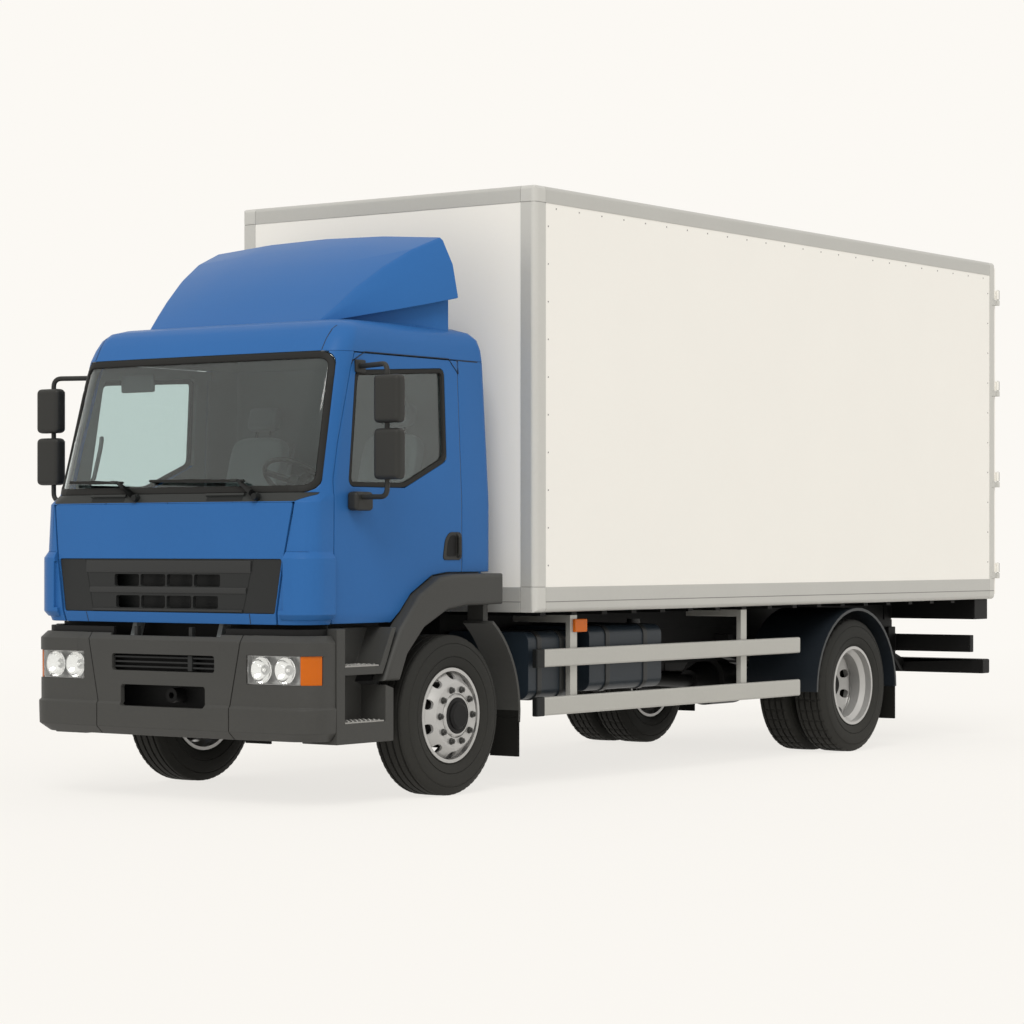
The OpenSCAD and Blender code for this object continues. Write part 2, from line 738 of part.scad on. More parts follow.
module cab_back() color("#1f4f86") intersection() {
  cab_shell(cab_t);
  block(-1000, cab_rear - 90, 1380, 1000, cab_rear + 50, head_z - seat);
}

module cab_sides() color("#2463a8") pair() {
  intersection() {
    cab_shell(cab_t);
    block(1000, 172 + seam, 1402, 1200, cab_rear + 50, head_z - seat);
  }
  intersection() {
    difference() {
      cab_volume(cab_t - 2, cab_t);
      cab_volume(cab_t + 20, cab_t);
    }
    block(900, 172 + seam, 1440, 1200, 230, 2680);
  }
  intersection() {
    difference() {
      cab_volume(cab_t + seat, cab_t);
      cab_volume(cab_t + 20, cab_t);
    }
    block(900, 140, 1440, 1200, 180, 2680);
  }
}

module cab_roof() color("#2463a8") intersection() {
  cab_shell(cab_t);
  block(-1300, -1600, head_z, 1300, 900, roof_z + 50);
}

screen_sill_x = 1068;
screen_head_x = 1020;

// Windscreen outline drawn in by d
function screen_edge(d) = fillet([[d - screen_sill_x, sill_z + d], [screen_sill_x - d, sill_z + d],
  [screen_head_x - d, head_z - 5 - d], [d - screen_head_x, head_z - 5 - d]], 70 - d);

// Outline of the panel under the windscreen, drawn in by d
function cowl_edge(d) = [[d - 978, lid_top + 4 + d], [978 - d, lid_top + 4 + d], [1064 - d, sill_z - 12],
  [1064 - d, sill_z - d], [d - 1064, sill_z - d], [d - 1064, sill_z - 12]];

lid_low_x = 860;
lid_high_x = 975;
lid_outline = [[-lid_low_x, lid_bottom], [lid_low_x, lid_bottom], [lid_high_x, lid_top],
  [-lid_high_x, lid_top]];
lid_hole = [[-lid_low_x - seam, lid_bottom - 50], [lid_low_x + seam, lid_bottom - 50],
  [lid_high_x + 2 * seam, lid_top + 3], [-lid_high_x - 2 * seam, lid_top + 3]];
grille_z = [1160, 1488];

// Outline of the grille, drawn in by d
function grille_edge(d) = let (f = [for (z = grille_z) lid_low_x - 8 - d
  + (lid_high_x - lid_low_x) * (z - lid_bottom) / (lid_top - lid_bottom)])
  fillet([[-f[0], grille_z[0] + d], [f[0], grille_z[0] + d], [f[1], grille_z[1] - d],
    [-f[1], grille_z[1] - d]], 16);

module cab_front() color("#2463a8") union() {
  difference() {
    union() {
      intersection() {
        cab_shell(cab_t);
        across(concat([[-1700, cab_z - 5], [door_line[0][0] - seam, cab_z - 5]],
          [for (i = [1 : 3]) door_line[i] - [seam, 0]],
          [[door_line[4][0] - seam, head_z - seat], [-1700, head_z - seat]]), -1300, 1300);
      }
      corner_pods();
      intersection() {
        cab_volume(30);
        block(-1100, -1285, 1140 + seat, 1100, -1266, lid_top - 2);
      }
    }
    along(screen_edge(0), -1700, -780);
    along(rect(90 - screen_head_x, head_z - 60, screen_head_x - 90, head_z + 5), -1700, -780);
    along(rect(90 - screen_sill_x, sill_z - 20, screen_sill_x - 90, sill_z + 60), -1700, -1100);
    along(cowl_edge(0), -1700, -1100);
    along(lid_hole, -1700, -1287);
  }
  intersection() {
    cab_volume(40 + seat, 40);
    for (x = [-700, 640]) block(x, -1500, 1540, x + 60, -1280, 1600);
  }
}

// Raised air guides on the front corners
module corner_pods() {
  rows = [[1124, 2], [1156, -26], [1492, -26], [1532, 2]];
  difference() {
    intersection() {
      loft([for (p = rows) plan_ring(plan_half(cab_x - p[1], cab_y + p[1] + 4, 150 - p[1], 20,
        cab_rear, 80), p[0])]);
      union() for (m = [0, 1]) mirror([m, 0, 0]) block(908, -1450, 1100, 1200, -1115, 1540);
    }
    cab_volume(20);
    for (m = [0, 1]) mirror([m, 0, 0]) block(900, -1500, 1180, 940, -1300, 1470);
  }
}

module windscreen() color("#7c8a8c", 0.5) intersection() {
  difference() {
    cab_volume(10);
    cab_volume(20, 10);
  }
  along(screen_edge(0.4), -1700, -780);
}

// Black panel under the windscreen with two parked wipers
module wiper_panel() color("#17181a") {
  intersection() {
    cab_shell(40);
    along(cowl_edge(seat), -1700, -1100);
  }
  for (w = [[-273, -450, -868], [702, 544, -189]]) {
    bar([w[0], -1322, 1862], [w[0], -1372, 1862], 20);
    bar([w[0], -1366, 1862], [w[1], -1334, 1960], 9);
    bar([w[1], -1334, 1960], [w[1] - 60, -1330, 1962], 10);
    bar([w[2], -1318, 1966], [w[1] + 40, -1328, 1958], 9);
  }
}

module front_lid() color("#2463a8") difference() {
  intersection() {
    cab_shell(40);
    along(fillet(lid_outline, 12), -1700, -1287 - seat);
  }
  along(grille_edge(0), -1700, -1000);
}

module grille() color("#3a3b3d") difference() {
  intersection() {
    difference() {
      cab_volume(8);
      cab_volume(36, 36);
    }
    along(grille_edge(0.4), -1700, -1287 - seat);
  }
  for (r = [[1186, 1262, 425], [1319, 1393, 440]], i = [0 : 3])
    let (w = r[2] / 2, x = -r[2] + i * w)
      along(fillet(rect(x + 6, r[0], x + w - 6, r[1]), 14), -1700, -1000);
}

// Left door with its window opening
module door() difference() {
  intersection() {
    cab_shell(cab_t);
    across(fillet(door_outline, 12), 800, 1300);
  }
  across(window_outline, 700, 1400);
}

module door_left() color("#2463a8") door();
module door_right() color("#2463a8") right_hand() door();

module door_glass() intersection() {
  difference() {
    cab_volume(18);
    cab_volume(26, 8);
  }
  across(offset_in(window_outline, [-400, 2300], 0.4), 800, 1300);
}

module door_glass_left() color("#7c8a8c", 0.5) door_glass();
module door_glass_right() color("#7c8a8c", 0.5) right_hand() door_glass();

mirror_x = 1400;
mirror_y = -945;

// Two mirror heads on a bracket fixed to the door
module mirrors() {
  stem_x = mirror_x - 20;
  foot_y = mirror_y + 125;
  union() {
    for (z = [[1962, 2268], [2300, 2588]])
      upright(fillet([[mirror_x - 105, mirror_y + 45], [mirror_x - 80, mirror_y - 50],
        [mirror_x + 80, mirror_y - 50], [mirror_x + 105, mirror_y + 45]], 24), z[0], z[1]);
    bar([stem_x, mirror_y, 1839], [stem_x, mirror_y, 2671], 16);
    bar([1076, foot_y, 2655], [stem_x, mirror_y, 2655], 13);
    bar([1150, mirror_y + 20, 1860], [stem_x, mirror_y, 1860], 13);
    difference() {
      union() {
        block(1020, foot_y - 45, 2615, 1086, foot_y + 45, 2695);
        upright(fillet(rect(1080, mirror_y - 40, 1180, mirror_y + 130), 25), 1778, 1893);
      }
      cab_volume(-seat);
    }
  }
}

module mirrors_left() color("#2b2c2e") mirrors();
module mirrors_right() color("#2b2c2e") right_hand() mirrors();

// Deflector shape: y, half width and height at the crease, rise of the crown, lower edge of the side
DEFLECTOR = [
  [-760, 704, 2952, 3, 2930],
  [-620, 757, 3065, 24, 2968],
  [-500, 790, 3166, 34, 2994],
  [-300, 851, 3307, 46, 3036],
  [-80, 910, 3428, 54, 3083],
  [165, 950, 3522, 50, 3135]
];

// Right half of a cross-section, from the crown down, drawn in by t
function deflector_half(d, t) =
  let (z = d[2] + deflector_z - 3572 - t, w = d[1] - t, h = (d[2] - d[4]) * 0.45)
  let (e = min(16, h / 2), side = w + h / 2) [
    [w * 0.5, z + d[3] * 0.78],
    [w - e, z + d[3] * 0.08],
    [w + e / 2, z - e],
    [side, z - h],
    [side + 0.2 * (z - h - 2880), 2880]
  ];

function deflector_ring(d, t) = let (half = deflector_half(d, t)) concat(
  [for (i = [4 : -1 : 0]) [-half[i][0], half[i][1]]],
  [[0, d[2] + deflector_z - 3572 - t + d[3]]],
  half
);

module deflector_volume(t, back) loft([for (i = [0 : len(DEFLECTOR) - 1])
  let (d = DEFLECTOR[i], y = d[0] + t + (i == len(DEFLECTOR) - 1 ? back : 0))
  [for (p = deflector_ring(d, t)) [p[0], y, p[1]]]]);

// Shell that overhangs two skirts on the roof
module air_deflector() color("#2463a8") difference() {
  union() {
    difference() {
      deflector_volume(0, 0);
      deflector_volume(18, 40);
      pair() across([[-755, 2800], [400, 2800], [400, 3185], [165, 3135], [-740, 2944]], 600, 1400);
    }
    intersection() {
      deflector_volume(9, -9);
      union() {
        upright(skirt_line, 2880, 3400);
        mirror([1, 0, 0]) upright(skirt_line, 2880, 3400);
      }
    }
  }
  cab_volume(-seat);
}

skirt_line = [[690, -735], [800, -480], [900, -200], [985, 60], [1000, 165], [980, 165], [965, 60],
  [880, -200], [780, -480], [670, -735]];

// Seats with a cushion, a back and a headrest on a plinth
module seat_unit(x, w) translate([x, 0, 0]) {
  block(-w * 0.36, -420, 1420, w * 0.36, -20, 1560);
  across(fillet([[-520, 1555], [20, 1550], [30, 1680], [-500, 1700], [-540, 1640]], 40), -w / 2, w / 2);
  across(fillet([[-50, 1640], [90, 1640], [250, 2280], [130, 2300]], 45), -w / 2 + 15, w / 2 - 15);
  across(fillet([[140, 2330], [240, 2320], [265, 2480], [185, 2500]], 30), -w / 4, w / 4);
  for (s = [-60, 60]) bar([s, 185, 2250], [s, 205, 2360], 9);
}

module seats() color("#3b3f45") {
  seat_unit(560, 500);
  seat_unit(-560, 500);
}

wheel_hub = [560, -800, 1960];
column_dir = unit([0, -0.62, -0.78]);

module dashboard() color("#3c3f44") {
  intersection() {
    cab_volume(cab_t + seat, cab_t);
    across(fillet([[-1266 + seat, 1500], [-900, 1500], [-850, 1620], [-900, 1800], [-1000, 1860],
      [-1266 + seat, 1875]], 20), -960, 960);
  }
  bar(wheel_hub + column_dir * 330, wheel_hub + column_dir * 70, 45);
  bar(wheel_hub + column_dir * 80, wheel_hub + column_dir * 5, 20);
}

module steering_wheel() color("#1d1e20")
  translate(wheel_hub) rotate([-atan2(0.62, 0.78), 0, 0]) difference() {
    union() {
      rotate_extrude($fn = 64) translate([215, 0]) circle(r = 15, $fn = 16);
      for (a = [0, 120, 240]) rotate([0, 0, a + 90]) block(30, -22, -14, 210, 22, 4);
      translate([0, 0, -60]) cylinder(h = 68, r = 60);
    }
    translate([0, 0, -61]) cylinder(h = 59, r = 20 + play);
  }

module wheel_arches() color("#47484a") pair() {
  outer = concat([[-705, 744], [-640, 880]], arch_line, [[527, 1392]]);
  inner = [[527, 1195], [130, 1190], [-60, 1165], [-300, 1060], [-470, 900], [-545, 744]];
  across(concat(outer, inner), 1075, 1176);
  liner = [[527, 1218], [128, 1213], [-68, 1188], [-316, 1078], [-490, 912], [-568, 744]];
  across(concat([for (i = [5 : -1 : 0]) liner[i]], inner), 960, 1076);
  difference() {
    block(945, 440, 1040, 1070, 490, 1200);
    shaft(900, 1200, 0, axle_z, 722 + seat);
  }
}

// Drawn nodes

in_frame() chassis_frame();
in_frame() engine();
in_frame() propshaft();
in_frame() front_axle();
in_frame() rear_axle();
in_frame() leaf_springs();
in_frame() fuel_tanks();
in_frame() battery_box();
in_frame() silencer();
in_frame() side_guards();
in_frame() bumper_centre();
in_frame() bumper_corners();
in_frame() headlamps();
in_frame() amber_lamps();
in_frame() steps();
in_frame() front_mudguards();
in_frame() rear_wings();
in_frame() underrun_bar();
in_frame() rear_lamp_bar();
in_frame() box_floor();
in_frame() box_front_wall();
in_frame() box_sides();
in_frame() box_roof();
in_frame() box_edge_rails();
in_frame() rear_frame();
in_frame() rear_door_left();
in_frame() rear_door_right();
in_frame() cab_floor();
in_frame() cab_back();
in_frame() cab_sides();
in_frame() cab_roof();
in_frame() cab_front();
in_frame() windscreen();
in_frame() wiper_panel();
in_frame() front_lid();
in_frame() grille();
in_frame() door_left();
in_frame() door_right();
in_frame() door_glass_left();
in_frame() door_glass_right();
in_frame() mirrors_left();
in_frame() mirrors_right();
in_frame() air_deflector();
in_frame() seats();
in_frame() dashboard();
in_frame() steering_wheel();
in_frame() wheel_arches();
in_frame() knuckle_left();
in_frame() knuckle_right();
in_frame() tie_rod();
in_frame() front_tyre_left();
in_frame() front_tyre_right();
in_frame() rear_tyres_left();
in_frame() rear_tyres_right();
in_frame() front_wheel_left();
in_frame() front_wheel_right();
in_frame() rear_wheels_left();
in_frame() rear_wheels_right();
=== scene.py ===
"""Looks of a two-axle box truck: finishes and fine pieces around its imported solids.

Metres, +Z up, front towards -Y, left side +X. Places are written from the front axle line
and moved into the shared frame by at().
"""

import json
import logging
import math
from dataclasses import dataclass
from enum import Enum
from typing import Callable, Sequence

import bmesh
import bpy
from bmesh.types import BMEdge, BMesh, BMFace, BMVert
from mathutils import Matrix, Vector
from mathutils.bvhtree import BVHTree

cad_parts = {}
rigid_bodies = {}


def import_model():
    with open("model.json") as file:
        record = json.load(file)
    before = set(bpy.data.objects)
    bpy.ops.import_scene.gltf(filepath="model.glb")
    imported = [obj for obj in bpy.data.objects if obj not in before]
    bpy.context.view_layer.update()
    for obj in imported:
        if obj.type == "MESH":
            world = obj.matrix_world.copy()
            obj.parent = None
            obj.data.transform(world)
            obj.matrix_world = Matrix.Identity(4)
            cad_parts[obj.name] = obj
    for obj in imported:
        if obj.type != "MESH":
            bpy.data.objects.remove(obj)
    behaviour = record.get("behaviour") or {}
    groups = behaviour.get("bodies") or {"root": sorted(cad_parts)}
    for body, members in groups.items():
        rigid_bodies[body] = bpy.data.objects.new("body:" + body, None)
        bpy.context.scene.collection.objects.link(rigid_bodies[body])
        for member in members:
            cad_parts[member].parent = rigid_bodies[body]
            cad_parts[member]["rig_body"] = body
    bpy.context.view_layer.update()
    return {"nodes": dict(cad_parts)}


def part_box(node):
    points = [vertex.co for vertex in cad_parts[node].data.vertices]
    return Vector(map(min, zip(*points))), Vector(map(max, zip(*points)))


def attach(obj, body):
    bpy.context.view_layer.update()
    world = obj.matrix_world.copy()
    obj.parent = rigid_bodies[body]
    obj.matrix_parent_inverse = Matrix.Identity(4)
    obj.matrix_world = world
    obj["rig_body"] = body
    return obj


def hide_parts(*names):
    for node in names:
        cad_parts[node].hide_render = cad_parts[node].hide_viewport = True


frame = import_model()
AXLE_Y = sum(corner.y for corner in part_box("front_tyre_left")) / 2
SHARP_ANGLE = math.radians(32.0)
STRIP_SMOOTH = 60.0
CLEAR = 3.0
LOG = logging.getLogger("box_truck")
Colour = tuple[float, float, float]
Split = tuple["Finish", Callable[[BMFace], bool]]
Tree, Socket, Piece = bpy.types.NodeTree, bpy.types.NodeSocket, bpy.types.Object
BACK, INWARD = Vector((0, 1, 0)), Vector((-1, 0, 0))


def at(x: float, y: float, z: float) -> Vector:
    """Point in the shared frame, with y measured back from the front axle.

    Args:
        x: distance to the left.
        y: distance back from the front axle.
        z: height.

    Returns:
        The point.
    """
    return Vector((x, y + AXLE_Y, z))


def ahead(x: float, z: float) -> Vector:
    """Point in front of the truck, to land on a surface from there."""
    return at(x, -CLEAR, z)


def aside(y: float, z: float) -> Vector:
    """Point beside the truck on the left, to land on a surface from there."""
    return at(CLEAR, y, z)


# Finishes


class Relief(Enum):
    """Fine surface relief: scale of its noise along x, y and z."""

    PEEL = (90.0, 90.0, 90.0)
    GRAIN = (420.0, 420.0, 420.0)
    BRUSH_Y = (300.0, 4.0, 300.0)
    BRUSH_Z = (300.0, 300.0, 4.0)
    CAST = (60.0, 60.0, 60.0)
    RUBBER = (160.0, 160.0, 160.0)
    WEAVE = (230.0, 230.0, 230.0)
    PLANK = (9.0, 1.2, 60.0)


@dataclass(frozen=True)
class Finish:
    """One surface finish and the record's slot that it belongs to."""

    name: str
    slot: str
    colour: Colour
    roughness: float
    relief: Relief = Relief.GRAIN
    depth: float = 0.0002
    metallic: float = 0.0
    coat: float = 0.0
    drift: float = 0.06
    dust: float = 0.0
    transmission: float = 0.0
    sheen: float = 0.0
    specular: float = 0.5


CAB_PAINT = Finish("cab_paint", "cab_blue", (0.029, 0.126, 0.350), 0.36, Relief.PEEL, 0.00006, drift=0.04,
                   specular=0.10)
JOINT = Finish("joint_shadow", "cab_blue", (0.008, 0.016, 0.034), 0.7, Relief.GRAIN, 0.0001)
LINING = Finish("cab_lining", "cab_lining", (0.200, 0.215, 0.215), 0.7)
TRIM = Finish("bumper_trim", "trim_grey", (0.050, 0.050, 0.047), 0.52, Relief.GRAIN, 0.00025, drift=0.08,
              dust=0.03, specular=0.25)
TRIM_DARK = Finish("grille_trim", "grille_grey", (0.019, 0.020, 0.020), 0.5, specular=0.22)
GRILLE_BAR = Finish("grille_bar", "grille_grey", (0.029, 0.030, 0.030), 0.5, specular=0.25)
# Black plastic of mouldings, arms, plinths and joints, and painted shade on the firewall behind the grille
# and in the grab hollows.
BLACK_AND_SHADE = Finish("black_moulding_and_painted_shade", "black_plastic", (0.010, 0.011, 0.011), 0.45, specular=0.2)
COWL = Finish("cowl_moulding", "black_plastic", (0.022, 0.024, 0.023), 0.5, specular=0.3)
SEAL = Finish("rubber_seal", "black_plastic", (0.015, 0.015, 0.014), 0.6, Relief.RUBBER, 0.0001,
              specular=0.2)
MIRROR_SHELL = Finish("mirror_shell", "black_plastic", (0.026, 0.026, 0.024), 0.5, specular=0.25)
PANEL = Finish("box_panel", "panel_white", (0.885, 0.865, 0.818), 0.5, Relief.PEEL, 0.00008, drift=0.010,
               specular=0.2)
EDGE = Finish("edge_profile", "edge_alloy", (0.490, 0.486, 0.460), 0.42, Relief.BRUSH_Y, 0.00005, 0.25,
              drift=0.04)
POST = Finish("corner_profile", "edge_alloy", (0.560, 0.555, 0.525), 0.42, Relief.BRUSH_Z, 0.00005, 0.25,
              drift=0.04)
RIVET = Finish("rivet_head", "edge_alloy", (0.220, 0.215, 0.205), 0.5, Relief.CAST)
GUARD = Finish("guard_rail", "guard_alloy", (0.440, 0.435, 0.405), 0.36, Relief.BRUSH_Y, 0.00005, 0.35,
               drift=0.05)
SILVER = Finish("wheel_paint", "wheel_silver", (0.455, 0.450, 0.438), 0.30, Relief.PEEL, 0.00005, 0.45,
                0.3, 0.05)
NUT = Finish("wheel_nut", "shaft_steel", (0.055, 0.055, 0.052), 0.42, Relief.CAST, 0.0002, 0.4)
# Near black: the hub and hub ring, and painted shade on the plates, ledges and handle pockets that stand for
# shaded openings and recesses.
HUB_AND_SHADE = Finish("hub_cap_and_painted_shade", "frame_black", (0.010, 0.010, 0.010), 0.5, Relief.CAST, 0.0003, specular=0.15)
RUBBER = Finish("tyre_rubber", "rubber", (0.021, 0.021, 0.019), 0.72, Relief.RUBBER, 0.0003, drift=0.10,
                dust=0.03, specular=0.22)
FLAP = Finish("flap_rubber", "guard_black", (0.008, 0.008, 0.007), 0.7, Relief.RUBBER, 0.0003, dust=0.01,
              specular=0.12)
FRAME = Finish("frame_paint", "frame_black", (0.008, 0.008, 0.008), 0.5, Relief.CAST, drift=0.15,
               dust=0.01, specular=0.15)
AXLE = Finish("axle_paint", "shaft_steel", (0.016, 0.016, 0.016), 0.5, Relief.CAST, 0.0004, drift=0.15,
              dust=0.01, specular=0.18)
SPRING = Finish("spring_paint", "spring_steel", (0.014, 0.014, 0.014), 0.5, Relief.CAST, 0.0003,
                drift=0.15, specular=0.18)
IRON = Finish("engine_iron", "engine_iron", (0.020, 0.021, 0.021), 0.6, Relief.CAST, 0.0008, drift=0.2,
              specular=0.18)
TANK = Finish("tank_paint", "tank_blue", (0.016, 0.024, 0.033), 0.36, Relief.PEEL, 0.0001, drift=0.08,
              specular=0.3)
STRAP = Finish("tank_strap", "frame_black", (0.020, 0.021, 0.021), 0.4, Relief.CAST, 0.0001, 0.3)
WING = Finish("wing_plastic", "wing_navy", (0.012, 0.016, 0.021), 0.42, drift=0.08, dust=0.01,
              specular=0.22)
WING_LIP = Finish("wing_lip", "wing_navy", (0.045, 0.048, 0.050), 0.42, specular=0.25)
BATTERY = Finish("battery_cover", "box_plastic", (0.030, 0.031, 0.031), 0.5, Relief.GRAIN, 0.0003,
                 dust=0.05)
EXHAUST = Finish("silencer_skin", "silencer_steel", (0.230, 0.225, 0.215), 0.45, Relief.CAST, 0.0003, 0.8,
                 drift=0.12)
TREAD = Finish("step_tread", "guard_alloy", (0.330, 0.325, 0.310), 0.45, Relief.CAST, 0.0006, 0.6,
               drift=0.12)
FLOOR_PLY = Finish("floor_ply", "floor_ply", (0.210, 0.140, 0.080), 0.6, Relief.PLANK, 0.0004, drift=0.25)
FABRIC = Finish("seat_cloth", "seat_fabric", (0.230, 0.245, 0.250), 0.9, Relief.WEAVE, 0.0006, sheen=0.3)
FABRIC_DARK = Finish("seat_side_cloth", "seat_fabric", (0.150, 0.160, 0.165), 0.9, Relief.WEAVE, 0.0006,
                     sheen=0.3)
DASH = Finish("dash_plastic", "cab_lining", (0.115, 0.122, 0.122), 0.62, Relief.GRAIN, 0.0003)
CHROME = Finish("reflector", "lamp_clear", (0.930, 0.930, 0.920), 0.06, Relief.PEEL, 0.00002, 1.0,
                drift=0.01)
BEZEL = Finish("lamp_bezel", "lamp_clear", (0.600, 0.600, 0.590), 0.30, Relief.PEEL, 0.00002, 0.6,
               drift=0.02)
LOOKING_GLASS = Finish("mirror_glass", "lamp_clear", (0.80, 0.82, 0.83), 0.03, Relief.PEEL, 0.0, 1.0,
                       drift=0.0)
LENS = Finish("clear_lens", "lamp_clear", (0.97, 0.98, 0.98), 0.02, Relief.PEEL, 0.00002, drift=0.0,
              transmission=1.0)
GLASS = Finish("cab_glass", "glass", (0.690, 0.790, 0.785), 0.01, Relief.PEEL, 0.0, drift=0.0,
               transmission=1.0)
AMBER = Finish("amber_lens", "lamp_amber", (0.690, 0.150, 0.002), 0.16, Relief.GRAIN, 0.0004,
               transmission=0.25, specular=0.15)
RED = Finish("red_lens", "lamp_amber", (0.520, 0.020, 0.012), 0.16, Relief.GRAIN, 0.0004, transmission=0.2)


def math_node(tree: Tree, kind: str, first: Socket | float, second: Socket | float) -> Socket:
    """Math node of two sockets or numbers.

    Args:
        tree: tree that gets the node.
        kind: the operation.
        first: first socket or number.
        second: second socket or number.

    Returns:
        The node's result socket.
    """
    node = tree.nodes.new("ShaderNodeMath")
    node.operation = kind
    for socket, value in zip(node.inputs, (first, second)):
        if isinstance(value, (int, float)):
            socket.default_value = value
        else:
            tree.links.new(value, socket)
    return node.outputs[0]


def noise_node(tree: Tree, place: Socket, scale: float, detail: float) -> Socket:
    """Noise value at a place.

    Args:
        tree: tree that gets the node.
        place: socket with the place.
        scale: how fine the noise is.
        detail: how many finer layers it has.

    Returns:
        The noise's factor socket.
    """
    node = tree.nodes.new("ShaderNodeTexNoise")
    node.inputs["Scale"].default_value = scale
    node.inputs["Detail"].default_value = detail
    tree.links.new(place, node.inputs["Vector"])
    return node.outputs["Fac"]


def ramp_node(tree: Tree, value: Socket, limits: Sequence[float]) -> Socket:
    """Value moved from one range to another.

    Args:
        tree: tree that gets the node.
        value: socket with the value.
        limits: ends of the first range, then ends of the second.

    Returns:
        The node's result socket.
    """
    node = tree.nodes.new("ShaderNodeMapRange")
    for label, number in zip(("From Min", "From Max", "To Min", "To Max"), limits):
        node.inputs[label].default_value = number
    tree.links.new(value, node.inputs["Value"])
    return node.outputs[0]


class FinishShop:
    """Builds each finish once as a material from two shared shader groups."""

    dust_colour: Colour = (0.30, 0.27, 0.22)
    dust_top: float = 0.9
    dust_roughness: float = 0.6
    coat_roughness: float = 0.06
    broad_scale: float = 1.6
    fine_scale: float = 38.0
    broad_share: float = 0.65
    mix_factor, mix_first, mix_second, mix_result = 0, 6, 7, 2

    def __init__(self) -> None:
        """Builds the groups that the materials share."""
        self.made: dict[str, bpy.types.Material] = {}
        self.tone = self._tone_group()
        self.relief = self._relief_group()

    @staticmethod
    def _group(name: str, inputs: Sequence[tuple], outputs: Sequence[tuple]) -> Tree:
        """Empty shader group with named sockets.

        Args:
            name: name of the group.
            inputs: (name, socket type, default) of each input.
            outputs: (name, socket type) of each output.

        Returns:
            The group, with one group input and one group output node.
        """
        tree = bpy.data.node_groups.new(name, "ShaderNodeTree")
        for label, kind, default in inputs:
            socket = tree.interface.new_socket(label, in_out="INPUT", socket_type=kind)
            socket.default_value = default
        for label, kind in outputs:
            tree.interface.new_socket(label, in_out="OUTPUT", socket_type=kind)
        tree.nodes.new("NodeGroupInput").name = "in"
        tree.nodes.new("NodeGroupOutput").name = "out"
        return tree

    @staticmethod
    def _use(tree: Tree, group: Tree, place: Socket,
             **values: float | Sequence[float]) -> bpy.types.Node:
        """Group node in a material.

        Args:
            tree: tree of the material.
            group: the group.
            place: socket with the place.
            **values: values of the group's other inputs.

        Returns:
            The node.
        """
        node = tree.nodes.new("ShaderNodeGroup")
        node.node_tree = group
        tree.links.new(place, node.inputs["Place"])
        for label, value in values.items():
            node.inputs[label].default_value = value
        return node

    def _tone_group(self) -> Tree:
        """Uneven tone and road dust: colour and roughness that drift over the surface.

        Returns:
            The group.
        """
        colour, number, vector = "NodeSocketColor", "NodeSocketFloat", "NodeSocketVector"
        tree = self._group(
            "uneven_tone",
            [("Place", vector, (0, 0, 0)), ("Colour", colour, (1, 1, 1, 1)), ("Roughness", number, 0.5),
             ("Drift", number, 0.05), ("Dust", number, 0.0)],
            [("Colour", colour), ("Roughness", number)],
        )
        source, sink = tree.nodes["in"].outputs, tree.nodes["out"].inputs

        def times(first: Socket | float, second: Socket | float) -> Socket:
            """Product of two values."""
            return math_node(tree, "MULTIPLY", first, second)

        def plus(first: Socket | float, second: Socket | float) -> Socket:
            """Sum of two values."""
            return math_node(tree, "ADD", first, second)

        broad = noise_node(tree, source["Place"], self.broad_scale, 4.0)
        fine = noise_node(tree, source["Place"], self.fine_scale, 6.0)
        mixed = plus(times(broad, self.broad_share), times(fine, 1.0 - self.broad_share))
        swing = times(math_node(tree, "SUBTRACT", mixed, 0.5), 4.0)
        value = plus(1.0, times(swing, source["Drift"]))
        shade = tree.nodes.new("ShaderNodeHueSaturation")
        tree.links.new(value, shade.inputs["Value"])
        tree.links.new(source["Colour"], shade.inputs["Color"])
        height = tree.nodes.new("ShaderNodeSeparateXYZ")
        tree.links.new(source["Place"], height.inputs[0])
        low = ramp_node(tree, height.outputs["Z"], (0.0, self.dust_top, 1.0, 0.0))
        dust = times(times(low, source["Dust"]), plus(fine, 0.5))
        blend = tree.nodes.new("ShaderNodeMix")
        blend.data_type = "RGBA"
        blend.inputs[self.mix_second].default_value = (*self.dust_colour, 1)
        tree.links.new(dust, blend.inputs[self.mix_factor])
        tree.links.new(shade.outputs[0], blend.inputs[self.mix_first])
        tree.links.new(blend.outputs[self.mix_result], sink["Colour"])
        rough = plus(source["Roughness"], times(swing, 0.04))
        tree.links.new(plus(rough, times(dust, self.dust_roughness)), sink["Roughness"])
        return tree

    def _relief_group(self) -> Tree:
        """Fine relief: noise stretched along each axis by its own scale.

        Returns:
            The group.
        """
        vector = "NodeSocketVector"
        tree = self._group(
            "fine_relief",
            [("Place", vector, (0, 0, 0)), ("Scale", vector, (1, 1, 1))],
            [("Height", "NodeSocketFloat")],
        )
        source = tree.nodes["in"].outputs
        stretch = tree.nodes.new("ShaderNodeVectorMath")
        stretch.operation = "MULTIPLY"
        tree.links.new(source["Place"], stretch.inputs[0])
        tree.links.new(source["Scale"], stretch.inputs[1])
        tree.links.new(noise_node(tree, stretch.outputs[0], 1.0, 3.0), tree.nodes["out"].inputs["Height"])
        return tree

